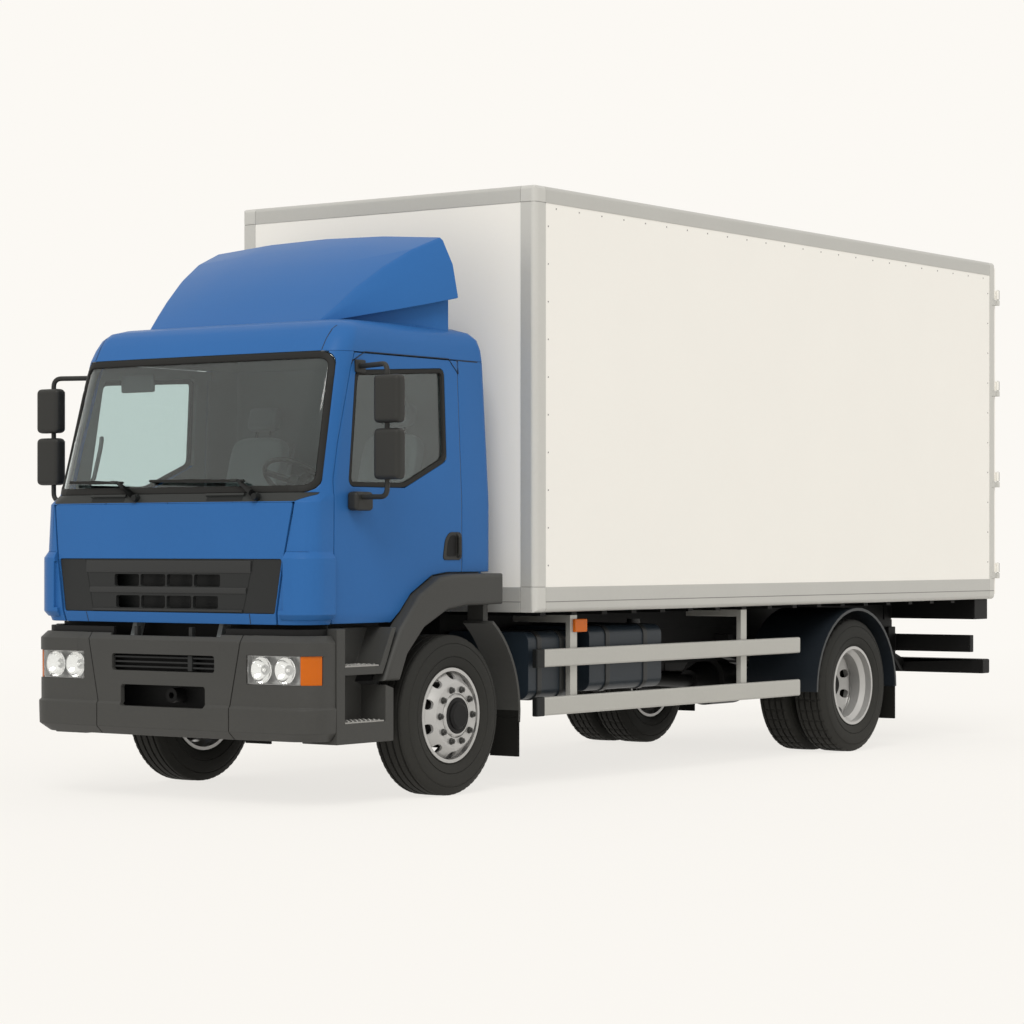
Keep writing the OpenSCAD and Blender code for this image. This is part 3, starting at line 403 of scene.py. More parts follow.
    def get(self, finish: Finish) -> bpy.types.Material:
        """Material of a finish, built at its first use.

        Args:
            finish: the finish wanted.

        Returns:
            The material.
        """
        if finish.name in self.made:
            return self.made[finish.name]
        material = bpy.data.materials.new(finish.name)
        material.use_nodes = True
        tree = material.node_tree
        shader = tree.nodes["Principled BSDF"]
        for label, value in (("Metallic", finish.metallic), ("Coat Weight", finish.coat),
                             ("Coat Roughness", self.coat_roughness), ("Sheen Weight", finish.sheen),
                             ("Transmission Weight", finish.transmission),
                             ("Specular IOR Level", finish.specular)):
            shader.inputs[label].default_value = value
        place = tree.nodes.new("ShaderNodeTexCoord").outputs["Object"]
        tone = self._use(tree, self.tone, place, Colour=(*finish.colour, 1), Roughness=finish.roughness,
                         Drift=finish.drift, Dust=finish.dust)
        tree.links.new(tone.outputs["Colour"], shader.inputs["Base Color"])
        if finish.transmission < 1.0:
            tree.links.new(tone.outputs["Roughness"], shader.inputs["Roughness"])
        else:
            shader.inputs["Roughness"].default_value = finish.roughness
        if finish.depth > 0.0:
            relief = self._use(tree, self.relief, place, Scale=finish.relief.value)
            bump = tree.nodes.new("ShaderNodeBump")
            bump.inputs["Strength"].default_value = 1.0
            bump.inputs["Distance"].default_value = finish.depth
            tree.links.new(relief.outputs["Height"], bump.inputs["Height"])
            tree.links.new(bump.outputs["Normal"], shader.inputs["Normal"])
        self.made[finish.name] = material
        return material


SHOP = FinishShop()

# Shaping


def soften(points: Sequence[Vector], radius: float, steps: int = 5, closed: bool = True) -> list[Vector]:
    """Line with its corners rounded.

    Args:
        points: corners of the line.
        radius: how far from each corner the curve starts.
        steps: segments in each curve.
        closed: True for an outline, False for an open line, which keeps its ends.

    Returns:
        The points of the rounded line.
    """
    count = len(points)
    out: list[Vector] = []
    for i, corner in enumerate(points):
        if not closed and i in (0, count - 1):
            out.append(corner.copy())
            continue
        before, after = points[i - 1] - corner, points[(i + 1) % count] - corner
        reach = min(radius, before.length * 0.49, after.length * 0.49)
        start, end = corner + before.normalized() * reach, corner + after.normalized() * reach
        for k in range(steps + 1):
            t = k / steps
            out.append(start * (1 - t) ** 2 + corner * (2 * t * (1 - t)) + end * t ** 2)
    return out


def spaced(points: Sequence[Vector], gap: float, closed: bool = False) -> list[Vector]:
    """The same line with points no further apart than gap.

    Args:
        points: points of the line.
        gap: widest gap.
        closed: True for an outline.

    Returns:
        The points of the line.
    """
    out: list[Vector] = []
    ends = list(points[1:]) + ([points[0]] if closed else [])
    for start, end in zip(points, ends):
        parts = max(1, math.ceil((end - start).length / gap))
        out += [start.lerp(end, k / parts) for k in range(parts)]
    return out if closed else out + [points[-1].copy()]


def add_block(bm: BMesh, low: Vector, high: Vector, rounding: float, segments: int = 2) -> None:
    """Adds a block between two corners, with all its edges rounded.

    Args:
        bm: mesh that gets the block.
        low: its low corner.
        high: its high corner.
        rounding: width of the rounding.
        segments: steps of the rounding.
    """
    place = Matrix.Translation((low + high) / 2) @ Matrix.Diagonal((*(high - low), 1.0))
    made = bmesh.ops.create_cube(bm, size=1.0, matrix=place)
    edges = list({edge for vert in made["verts"] for edge in vert.link_edges})
    bmesh.ops.bevel(bm, geom=edges, offset=rounding, segments=segments, profile=0.5, affect="EDGES",
                    material=-1, clamp_overlap=True)


def add_drum(bm: BMesh, start: Vector, end: Vector, radius: float, far: float | None = None,
             sides: int = 24) -> None:
    """Adds a round bar or a cone between two points.

    Args:
        bm: mesh that gets the bar.
        start: middle of its first end.
        end: middle of its far end.
        radius: radius at the first end.
        far: radius at the far end, if it differs.
        sides: segments round it.
    """
    axis = end - start
    turn = Vector((0, 0, 1)).rotation_difference(axis).to_matrix().to_4x4()
    bmesh.ops.create_cone(bm, cap_ends=True, segments=sides, radius1=radius,
                          radius2=radius if far is None else far, depth=axis.length,
                          matrix=Matrix.Translation((start + end) / 2) @ turn)


def add_sweep(bm: BMesh, rings: Sequence[Sequence[Vector]], closed: bool = False) -> None:
    """Adds a solid drawn through rings of points by extruding its first face along them.

    Args:
        bm: mesh that gets the solid.
        rings: cross-sections with as many points each.
        closed: True where the last ring joins the first.
    """
    start = face = bm.faces.new([bm.verts.new(place) for place in rings[0]])
    for ring in list(rings[1:]) + ([rings[0]] if closed else []):
        out = bmesh.ops.extrude_face_region(bm, geom=[face])["geom"]
        face = next(item for item in out if isinstance(item, BMFace))
        for vert, place in zip(face.verts, ring):
            vert.co = place
    if closed:
        bmesh.ops.delete(bm, geom=[start, face], context="FACES_ONLY")
        bmesh.ops.remove_doubles(bm, verts=bm.verts, dist=1e-6)


def add_tube(bm: BMesh, path: Sequence[Vector], radius: float, sides: int = 12) -> None:
    """Adds a round tube along a line.

    Args:
        bm: mesh that gets the tube.
        path: its middle line.
        radius: its radius.
        sides: segments round it.
    """
    rings = []
    side = None
    for i, point in enumerate(path):
        along = (path[min(i + 1, len(path) - 1)] - path[max(i - 1, 0)]).normalized()
        if side is None:
            side = along.orthogonal().normalized()
        side = (side - along * side.dot(along)).normalized()
        up = along.cross(side)
        angles = [2 * math.pi * k / sides for k in range(sides)]
        rings.append([point + (side * math.cos(a) + up * math.sin(a)) * radius for a in angles])
    add_sweep(bm, rings)


def add_lathe(bm: BMesh, profile: Sequence[tuple[float, float]], centre: Vector, axis: Vector,
              steps: int = 72, closed: bool = False) -> None:
    """Adds a turned shape.

    Args:
        bm: mesh that gets the shape.
        profile: (radius, distance along the axis) of each point.
        centre: point on the axis where the distance is nought.
        axis: direction of the axis.
        steps: segments round the axis.
        closed: True where the profile's end joins its start.
    """
    side = axis.orthogonal().normalized()
    verts = [bm.verts.new(centre + axis * along + side * radius) for radius, along in profile]
    pairs = list(zip(verts, verts[1:])) + ([(verts[-1], verts[0])] if closed else [])
    edges = [bm.edges.new(pair) for pair in pairs]
    bmesh.ops.spin(bm, geom=verts + edges, cent=centre, axis=axis, angle=2 * math.pi, steps=steps,
                   use_merge=True)
    bmesh.ops.remove_doubles(bm, verts=bm.verts, dist=1e-5)


def add_prism(bm: BMesh, outline: Sequence[Vector], reach: Vector, rounding: float = 0.0) -> None:
    """Adds a flat outline drawn out by reach, with its far edges rounded.

    Args:
        bm: mesh that gets the prism.
        outline: corners of the outline.
        reach: how far and which way it is drawn out.
        rounding: width of the rounding, or nought for sharp edges.
    """
    face = bm.faces.new([bm.verts.new(place) for place in outline])
    out = bmesh.ops.extrude_face_region(bm, geom=[face])["geom"]
    bmesh.ops.translate(bm, verts=[item for item in out if isinstance(item, BMVert)], vec=reach)
    cap = next(item for item in out if isinstance(item, BMFace))
    if rounding > 0.0:
        bmesh.ops.bevel(bm, geom=list(cap.edges), offset=rounding, segments=2, profile=0.5, affect="EDGES",
                        material=-1, clamp_overlap=True)


def mirrored(bm: BMesh) -> BMesh:
    """Copy of a mesh on the other side of the truck.

    Args:
        bm: the mesh.

    Returns:
        The copy.
    """
    other = bm.copy()
    bmesh.ops.scale(other, vec=(-1, 1, 1), verts=other.verts)
    bmesh.ops.reverse_faces(other, faces=other.faces)
    return other


def both_sides(bm: BMesh) -> BMesh:
    """The mesh with its mirror image joined to it.

    Args:
        bm: the mesh, which is changed.

    Returns:
        The same mesh.
    """
    spare = bpy.data.meshes.new("spare")
    other = mirrored(bm)
    other.to_mesh(spare)
    bm.from_mesh(spare)
    other.free()
    bpy.data.meshes.remove(spare)
    return bm


class Skin:
    """Outer surface of some solids, found by a ray."""

    reach: float = 4.0

    def __init__(self, *nodes: str) -> None:
        """Gathers the faces of the named solids.

        Args:
            *nodes: names of the solids.
        """
        verts: list[Vector] = []
        faces: list[list[int]] = []
        for node in nodes:
            mesh = frame["nodes"][node].data
            start = len(verts)
            verts += [vert.co.copy() for vert in mesh.vertices]
            faces += [[start + index for index in polygon.vertices] for polygon in mesh.polygons]
        self.tree = BVHTree.FromPolygons(verts, faces)

    def drop(self, point: Vector, along: Vector) -> tuple[Vector, Vector]:
        """Where a point lands on the surface.

        Args:
            point: the point.
            along: direction in which it moves.

        Returns:
            The place on the surface and the outward normal there.
        """
        hit, normal, _, _ = self.tree.ray_cast(point - along * self.reach, along)
        if hit is None:
            hit, normal, _, _ = self.tree.find_nearest(point)
        return hit, -normal if normal.dot(along) > 0 else normal


def add_ribbon(bm: BMesh, line: Sequence[Vector], skin: Skin, along: Vector, width: float, proud: float,
               sunk: float = 0.004, closed: bool = False) -> None:
    """Adds a flat strip that lies on a surface.

    Args:
        bm: mesh that gets the strip.
        line: its middle line, before it lands on the surface.
        skin: the surface.
        along: direction in which the line lands.
        width: width of the strip.
        proud: height of its face over the surface.
        sunk: depth of its back under the surface.
        closed: True for a ring.
    """
    landed = [skin.drop(point, along) for point in line]
    last = len(landed) - 1
    rings = []
    for i, (place, normal) in enumerate(landed):
        after = landed[(i + 1) % len(landed)] if closed else landed[min(i + 1, last)]
        before = landed[i - 1] if closed else landed[max(i - 1, 0)]
        side = normal.cross(after[0] - before[0]).normalized() * (width / 2)
        top, back = place + normal * proud, place - normal * sunk
        soft = side * 0.7
        rings.append([back + side, place + side + normal * proud * 0.4, top + soft, top - soft,
                      place - side + normal * proud * 0.4, back - side])
    add_sweep(bm, rings, closed)


def make_piece(name: str, bm: BMesh, finish: Finish, body: str, smooth: float = 35.0, turn_out: bool = True,
               splits: Sequence[Split] = ()) -> Piece:
    """Turns a mesh into a piece that rides on a body.

    Args:
        name: name of the piece.
        bm: its mesh, which is freed.
        finish: its finish.
        body: the body that carries it.
        smooth: edges flatter than this many degrees are shaded smooth.
        turn_out: True to point its faces outwards.
        splits: other finishes, each with a test of the faces that get it.

    Returns:
        The new object.
    """
    if turn_out:
        bmesh.ops.recalc_face_normals(bm, faces=bm.faces)
    mesh = bpy.data.meshes.new(name)
    mesh.materials.append(SHOP.get(finish))
    for index, (other, test) in enumerate(splits, start=1):
        mesh.materials.append(SHOP.get(other))
        for face in bm.faces:
            if test(face):
                face.material_index = index
    bm.to_mesh(mesh)
    bm.free()
    for layer in [item for item in mesh.attributes if item.name == "custom_normal"]:
        mesh.attributes.remove(layer)
    mesh.shade_smooth()
    mesh.set_sharp_from_angle(angle=math.radians(smooth))
    piece = bpy.data.objects.new(name, mesh)
    bpy.context.scene.collection.objects.link(piece)
    weigh = piece.modifiers.new("even_shading", "WEIGHTED_NORMAL")
    weigh.keep_sharp = True
    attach(piece, body)
    LOG.info("piece %s on %s, %d faces", name, body, len(mesh.polygons))
    return piece


def block_piece(name: str, finish: Finish, blocks: Sequence[tuple], body: str = "chassis",
                pair: bool = False) -> Piece:
    """Piece made of rounded blocks.

    Args:
        name: name of the piece.
        finish: its finish.
        blocks: low corner, high corner and rounding of each block, with the steps of the rounding if not 2.
        body: the body that carries it.
        pair: True to add the mirror image.

    Returns:
        The new object.
    """
    bm = bmesh.new()
    for low, high, *edge in blocks:
        add_block(bm, at(*low), at(*high), *edge)
    return make_piece(name, both_sides(bm) if pair else bm, finish, body)


def door_pair(name: str, bm: BMesh, finish: Finish, smooth: float = 35.0) -> list[Piece]:
    """The same piece on both cab doors.

    Args:
        name: name of the piece, without its side.
        bm: mesh of the left piece.
        finish: its finish.
        smooth: edges flatter than this many degrees are shaded smooth.

    Returns:
        The left piece and the right piece.
    """
    other = mirrored(bm)
    return [make_piece(f"{name}_{hand}", mesh, finish, f"cab_door_{hand}", smooth)
            for hand, mesh in (("left", bm), ("right", other))]


def welded(node: str) -> BMesh:
    """Merged copy of a solid's mesh, with flat faces joined.

    Args:
        node: name of the solid.

    Returns:
        The copy.
    """
    bm = bmesh.new()
    bm.from_mesh(frame["nodes"][node].data)
    for face in bm.faces:
        face.material_index = 0
    bmesh.ops.remove_doubles(bm, verts=bm.verts, dist=2e-5)
    bmesh.ops.dissolve_limit(bm, angle_limit=math.radians(0.3), verts=bm.verts, edges=bm.edges)
    return bm


def dress(node: str, finish: Finish, rounding: float = 0.0, smooth: float = 35.0,
          splits: Sequence[Split] = (), keep: Callable[[BMEdge], bool] | None = None,
          segments: int = 2) -> Piece:
    """Replaces a solid by a merged copy with rounded edges and a finish.

    Args:
        node: name of the solid.
        finish: its finish.
        rounding: width of the rounding on sharp edges.
        smooth: edges flatter than this many degrees are shaded smooth.
        splits: other finishes, each with a test of the faces that get it.
        keep: test of the sharp edges that are rounded.
        segments: steps of the rounding.

    Returns:
        The new object.
    """
    bm = welded(node)
    if rounding > 0.0:
        edges = [edge for edge in bm.edges if edge.is_manifold and edge.calc_face_angle() > SHARP_ANGLE
                 and (keep is None or keep(edge))]
        bmesh.ops.bevel(bm, geom=edges, offset=rounding, offset_type="OFFSET", segments=segments, profile=0.5,
                        affect="EDGES", material=-1, clamp_overlap=False, loop_slide=True)
    body = frame["nodes"][node]["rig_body"]
    piece = make_piece(f"{node}_skin", bm, finish, body, smooth, turn_out=False, splits=splits)
    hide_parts(node)
    return piece


def paint(node: str, finish: Finish) -> None:
    """Gives a solid that keeps its own mesh its finish.

    Args:
        node: name of the solid.
        finish: its finish.
    """
    holder = frame["nodes"][node]
    for place in holder.material_slots:
        place.material = SHOP.get(finish)
    if not holder.material_slots:
        holder.data.materials.append(SHOP.get(finish))
    LOG.info("solid %s in %s", node, finish.name)


# Studio


@dataclass(frozen=True)
class Studio:
    """Camera, light and floor."""

    backdrop: Colour = (0.973, 0.948, 0.905)
    eye: tuple[float, float, float] = (12.3266, -14.8511, 1.5511)
    azimuth: float = 35.8
    focal_px: float = 2964.8
    horizon_px: float = 548.4
    frame_px: float = 1024.0
    sensor: float = 36.0
    sky: float = 0.74
    sun: float = 1.45
    floor_glow: tuple[float, float] = (0.80, 1.0)
    floor_fade: tuple[float, float] = (6.0, 26.0)
    floor_half: float = 220.0
    floor_colour: Colour = (0.82, 0.80, 0.765)
    sky_colour: Colour = (1.0, 0.99, 0.97)
    sun_colour: Colour = (1.0, 0.985, 0.955)
    sun_spread: float = 28.0
    sun_aim: tuple[float, float, float] = (-0.42, 0.66, -0.80)
    view_reach: float = 400.0

    def camera(self) -> None:
        """Camera at the photograph's place and lens."""
        data = bpy.data.cameras.new("camera")
        data.sensor_width = self.sensor
        data.lens = self.focal_px * self.sensor / self.frame_px
        data.shift_y = (self.horizon_px - self.frame_px / 2) / self.frame_px
        data.clip_end = self.view_reach
        holder = bpy.data.objects.new("camera", data)
        holder.location = at(*self.eye)
        holder.rotation_euler = (math.pi / 2, 0.0, math.radians(self.azimuth))
        bpy.context.scene.collection.objects.link(holder)
        bpy.context.scene.camera = holder

    def _seen(self, tree: Tree) -> Socket:
        """1 for rays from the camera, in gloss or through glass.

        Args:
            tree: tree that gets the nodes.

        Returns:
            The socket.
        """
        path = tree.nodes.new("ShaderNodeLightPath").outputs
        first = math_node(tree, "MAXIMUM", path["Is Camera Ray"], path["Is Glossy Ray"])
        return math_node(tree, "MAXIMUM", first, path["Is Transmission Ray"])

    @staticmethod
    def _blend(tree: Tree, share: Socket, first: bpy.types.Node, second: bpy.types.Node,
               end: str) -> None:
        """Ends a tree in a mix of two shaders.

        Args:
            tree: the tree.
            share: how much of the second shader shows.
            first: the first shader.
            second: the second shader.
            end: type of the output node.
        """
        mix, out = tree.nodes.new("ShaderNodeMixShader"), tree.nodes.new(end)
        for source, sink in zip((share, first.outputs[0], second.outputs[0]), mix.inputs):
            tree.links.new(source, sink)
        tree.links.new(mix.outputs[0], out.inputs[0])

    def light(self) -> None:
        """Even sky with one broad sun, seen as the pale backdrop."""
        world = bpy.data.worlds.new("studio")
        bpy.context.scene.world = world
        world.use_nodes = True
        tree = world.node_tree
        tree.nodes.clear()
        sky, back = tree.nodes.new("ShaderNodeBackground"), tree.nodes.new("ShaderNodeBackground")
        sky.inputs["Color"].default_value = (*self.sky_colour, 1)
        sky.inputs["Strength"].default_value = self.sky
        back.inputs["Color"].default_value = (*self.backdrop, 1)
        self._blend(tree, self._seen(tree), sky, back, "ShaderNodeOutputWorld")
        lamp = bpy.data.lights.new("sun", "SUN")
        lamp.energy = self.sun
        lamp.angle = math.radians(self.sun_spread)
        lamp.color = self.sun_colour
        holder = bpy.data.objects.new("sun", lamp)
        holder.rotation_euler = Vector(self.sun_aim).to_track_quat("-Z", "Y").to_euler()
        bpy.context.scene.collection.objects.link(holder)

    def floor(self) -> None:
        """Pale floor that keeps the soft shadow of the truck."""
        bm = bmesh.new()
        bmesh.ops.create_grid(bm, x_segments=1, y_segments=1, size=self.floor_half)
        mesh = bpy.data.meshes.new("floor")
        bm.to_mesh(mesh)
        bm.free()
        plane = bpy.data.objects.new("floor", mesh)
        bpy.context.scene.collection.objects.link(plane)
        material = bpy.data.materials.new("studio_floor")
        material.use_nodes = True
        tree = material.node_tree
        tree.nodes.clear()
        matt, glow = tree.nodes.new("ShaderNodeBsdfDiffuse"), tree.nodes.new("ShaderNodeEmission")
        matt.inputs["Color"].default_value = (*self.floor_colour, 1)
        glow.inputs["Color"].default_value = (*self.backdrop, 1)
        reach = tree.nodes.new("ShaderNodeVectorMath")
        reach.operation = "LENGTH"
        tree.links.new(tree.nodes.new("ShaderNodeTexCoord").outputs["Object"], reach.inputs[0])
        fade = ramp_node(tree, reach.outputs["Value"], self.floor_fade + self.floor_glow)
        share = math_node(tree, "MULTIPLY", self._seen(tree), fade)
        self._blend(tree, share, matt, glow, "ShaderNodeOutputMaterial")
        mesh.materials.append(material)

    def build(self) -> None:
        """Sets up the whole studio."""
        bpy.context.scene.view_settings.view_transform = "Standard"
        self.camera()
        self.light()
        self.floor()


# Cab


@dataclass(frozen=True)
class CabShell:
    """Painted panels, glass, seals, joints and handles of the cab."""

    screen_low: float = 1.885
    screen_high: float = 2.740
    screen_low_x: float = 1.068
    screen_high_x: float = 1.020
    seal_w: float = 0.046
    gutter_z: float = 2.741
    wall_front: float = -1.285
    wall_rear: float = 0.480
    edge_round: float = 0.004
    paint_smooth: float = 34.0
    joint_proud: float = 0.0012
    roof_low: float = 2.98
    inside_x: float = 1.062
    inside_top: float = 2.90
    seat_place: tuple = (0.0, -0.35, 2.0)
    facing: float = 0.25
    lid_top: float = 1.83
    screen_corner: float = 0.085
    window_corner: float = 0.05
    window_seal_w: float = 0.034
    door_glass_corners: tuple = ((-0.947, 1.937), (-0.408, 1.939), (0.017, 2.109), (0.023, 2.669),
                                 (-0.842, 2.617))
    handle_outline: tuple = ((-0.030, 1.478), (0.164, 1.478), (0.164, 1.654), (0.040, 1.654), (-0.005, 1.610))
    pull_y: float = 0.125
    pull_r: float = 0.013
    pull_bar: tuple = ((0.0, 1.500), (0.020, 1.515), (0.020, 1.625), (0.0, 1.640))
    handle_hollow: tuple = ((0.004, 1.500), (0.100, 1.500), (0.100, 1.634), (0.050, 1.634), (0.022, 1.600))

    def panels(self) -> None:
        """Painted skins and the lining inside the cab."""
        for node in ("cab_sides", "cab_roof", "cab_back", "front_lid", "door_left", "door_right"):
            dress(node, CAB_PAINT, self.edge_round, self.paint_smooth, splits=[(LINING, self.is_inside)])
        dress("air_deflector", CAB_PAINT, 0.006, self.paint_smooth,
              keep=lambda edge: max(vert.co.z for vert in edge.verts) > self.roof_low)
        # The firewall behind the grille gets black as painted shade in the grille openings.
        dress("cab_front", CAB_PAINT, self.edge_round, self.paint_smooth,
              splits=[(LINING, self.is_inside), (BLACK_AND_SHADE, self.is_firewall)])
        dress("cab_floor", LINING, splits=[(FRAME, lambda face: face.normal.z < -0.3)])
        dress("windscreen", GLASS, smooth=40.0, splits=[(SEAL, lambda face: abs(face.normal.y) < 0.5)])
        for node in ("door_glass_left", "door_glass_right"):
            dress(node, GLASS, smooth=40.0, splits=[(SEAL, lambda face: abs(face.normal.x) < 0.5)])

    def is_inside(self, face: BMFace) -> bool:
        """True for a face that looks into the driver's space.

        Args:
            face: the face.

        Returns:
            True or False.
        """
        centre = face.calc_center_median()
        to_seat = at(*self.seat_place) - centre
        inside = (abs(centre.x) < self.inside_x and self.wall_front < centre.y - AXLE_Y < self.wall_rear
                  and centre.z < self.inside_top)
        return inside and face.normal.dot(to_seat.normalized()) > self.facing

    def is_firewall(self, face: BMFace) -> bool:
        """True for the wall behind the front lid, which is painted black as painted shade seen through the
        grille openings.

        Args:
            face: the face.

        Returns:
            True or False.
        """
        centre = face.calc_center_median()
        on_wall = abs(centre.y - AXLE_Y - self.wall_front) < 0.004
        return face.normal.y < -0.9 and on_wall and centre.z < self.lid_top

    def screen_seal(self) -> None:
        """Black rubber round the windscreen."""
        inset = self.seal_w / 2 - 0.004
        low, high = self.screen_low + inset, self.screen_high - inset
        wide, narrow = self.screen_low_x - inset, self.screen_high_x - inset
        corners = [ahead(-wide, low), ahead(wide, low), ahead(narrow, high), ahead(-narrow, high)]
        line = spaced(soften(corners, self.screen_corner, 7), 0.05, closed=True)
        bm = bmesh.new()
        add_ribbon(bm, line, Skin("windscreen"), BACK, self.seal_w, 0.011, closed=True)
        make_piece("screen_seal", bm, SEAL, "cab", STRIP_SMOOTH)

    def window_seals(self) -> None:
        """Black rubber round each door window, in the door."""
        corners = [aside(y, z) for y, z in self.door_glass_corners]
        line = spaced(soften(corners, self.window_corner, 6), 0.06, closed=True)
        bm = bmesh.new()
        add_ribbon(bm, line, Skin("door_glass_left"), INWARD, self.window_seal_w, 0.0165, closed=True)
        door_pair("window_seal", bm, SEAL, STRIP_SMOOTH)

    def joints(self) -> None:
        """Joint lines of the roof cap, the gutter and the lower front edge."""
        roof = Skin("cab_roof", "cab_front", "cab_sides")
        bm = bmesh.new()
        crown = [ahead(0.935, 2.750), ahead(0.937, 2.815), ahead(0.944, 2.880), ahead(0.952, 2.905)]
        add_ribbon(bm, spaced(crown, 0.02), roof, BACK, 0.006, self.joint_proud)
        edge = [aside(-0.86, self.gutter_z), aside(0.48, self.gutter_z)]
        add_ribbon(bm, spaced(edge, 0.05), roof, INWARD, 0.008, self.joint_proud)
        make_piece("roof_joints", both_sides(bm), JOINT, "cab", STRIP_SMOOTH)
        bm = bmesh.new()
        line = spaced([ahead(0.667, 1.098), ahead(0.671, 1.157)], 0.015)
        add_ribbon(bm, line, Skin("front_lid"), BACK, 0.006, self.joint_proud)
        make_piece("lid_joints", both_sides(bm), JOINT, "lid", STRIP_SMOOTH)

    def handles(self) -> None:
        """Dark door handle plates with a pull bar, and a near-black patch of painted shade in the pocket."""
        face = Skin("door_left").drop(aside(0.08, 1.56), INWARD)[0].x
        bm = bmesh.new()
        plate = soften([at(face - 0.004, y, z) for y, z in self.handle_outline], 0.03, 5)
        add_prism(bm, plate, Vector((0.010, 0, 0)), 0.004)
        bar = [at(face + out, self.pull_y, z) for out, z in self.pull_bar]
        add_tube(bm, soften(bar, 0.02, 4, closed=False), self.pull_r)
        # Near-black patch just proud of the plate: painted shade in the handle pocket.
        pocket = bmesh.new()
        hollow = soften([at(face + 0.0045, y, z) for y, z in self.handle_hollow], 0.02, 4)
        add_prism(pocket, hollow, Vector((0.003, 0, 0)))
        door_pair("door_handle", bm, MIRROR_SHELL)
        door_pair("handle_pocket_shade", pocket, HUB_AND_SHADE)

    def build(self) -> None:
        """Makes every piece of the shell."""
        self.panels()
        self.screen_seal()
        self.window_seals()
        self.joints()
        self.handles()


@dataclass(frozen=True)
class CabNose:
    """Grille, wiper panel and wipers on the front of the cab."""

    grille_low_x: float = 0.615
    grille_high_x: float = 0.690
    grille_low: float = 1.165
    grille_h: float = 0.32
    pockets: tuple = (-0.517, 0.445)
    bars: tuple = ((1.440, 0.074), (1.296, 0.036), (1.174, 0.016))
    wipers: tuple = ((-0.273, -0.450, -0.868), (0.702, 0.544, -0.189))

    def grille(self) -> None:
        """Grille with raised bars and joints at its side plates."""
        dress("grille", TRIM_DARK, 0.002)
        skin = Skin("grille")
        bm = bmesh.new()
        for z, height in self.bars:
            spread = (self.grille_high_x - self.grille_low_x) * (z - self.grille_low) / self.grille_h
            reach = self.grille_low_x + spread - 0.004
            line = spaced([ahead(-reach, z), ahead(reach, z)], 0.08)
            add_ribbon(bm, line, skin, BACK, height, 0.007)
        make_piece("grille_bars", bm, GRILLE_BAR, "lid", 50.0)
        bm = bmesh.new()
        for side in (-1, 1):
            line = [ahead(side * self.grille_low_x, 1.164), ahead(side * self.grille_high_x, 1.485)]
            add_ribbon(bm, spaced(line, 0.05), skin, BACK, 0.008, 0.0012)
        make_piece("grille_joints", bm, BLACK_AND_SHADE, "lid", 50.0)

    def wiper_panel(self) -> None:
        """Black panel under the screen with its two grab pockets, their hollows drawn as black strips of
        painted shade.
        """
        dress("wiper_panel", COWL, 0.002)
        skin = Skin("wiper_panel")
        edge, hollow = bmesh.new(), bmesh.new()
        # The hollow strips are black as painted shade in the grab pockets.
        strips = ((edge, 0.150, 1.874, 0.020, 0.012), (hollow, 0.140, 1.850, 0.026, 0.0015))
        for x in self.pockets:
            for bm, half, z, width, proud in strips:
                line = spaced([ahead(x - half, z), ahead(x + half, z)], 0.04)
                add_ribbon(bm, line, skin, BACK, width, proud)
        make_piece("grab_pockets", edge, COWL, "cab", 50.0)
        make_piece("grab_hollow_shade", hollow, BLACK_AND_SHADE, "cab", 50.0)

    def wiper_arms(self) -> None:
        """Broad wiper arms over the pivots, and the blades that lie along the glass."""
        arms, blades = bmesh.new(), bmesh.new()
        for pivot, elbow, tip in self.wipers:
            foot, bend = at(pivot, -1.366, 1.862), at(elbow, -1.336, 1.960)
            add_drum(arms, foot + Vector((0, 0.022, 0)), foot - Vector((0, 0.012, 0)), 0.026, 0.020, 20)
            rings = []
            side = BACK.cross(bend - foot).normalized()
            for share, half in ((-0.06, 0.018), (0.10, 0.021), (0.45, 0.018), (0.85, 0.011), (1.04, 0.007)):
                middle, wide, up = foot.lerp(bend, share), side * half, BACK * 0.010
                rings.append([middle + wide + up, middle + wide * 0.6 - up,
                              middle - wide * 0.6 - up, middle - wide + up])
            add_sweep(arms, rings)
            ends = at(tip, -1.316, 1.966), at(elbow + 0.040, -1.326, 1.958)
            rings = []
            for share, half in ((0.0, 0.003), (0.03, 0.006), (0.5, 0.012), (0.97, 0.006), (1.0, 0.003)):
                middle = ends[0].lerp(ends[1], share)
                section = ((-0.011, -half), (-0.011, half), (0.012, 0.004), (0.012, -0.004))
                rings.append([middle + Vector((0, y, z)) for y, z in section])
            add_sweep(blades, rings)
        make_piece("wiper_arms", arms, BLACK_AND_SHADE, "cab", 40.0)
        make_piece("wiper_blades", blades, SEAL, "cab", 40.0)

    def build(self) -> None:
        """Makes every piece of the nose."""
        self.grille()
        self.wiper_panel()
        self.wiper_arms()


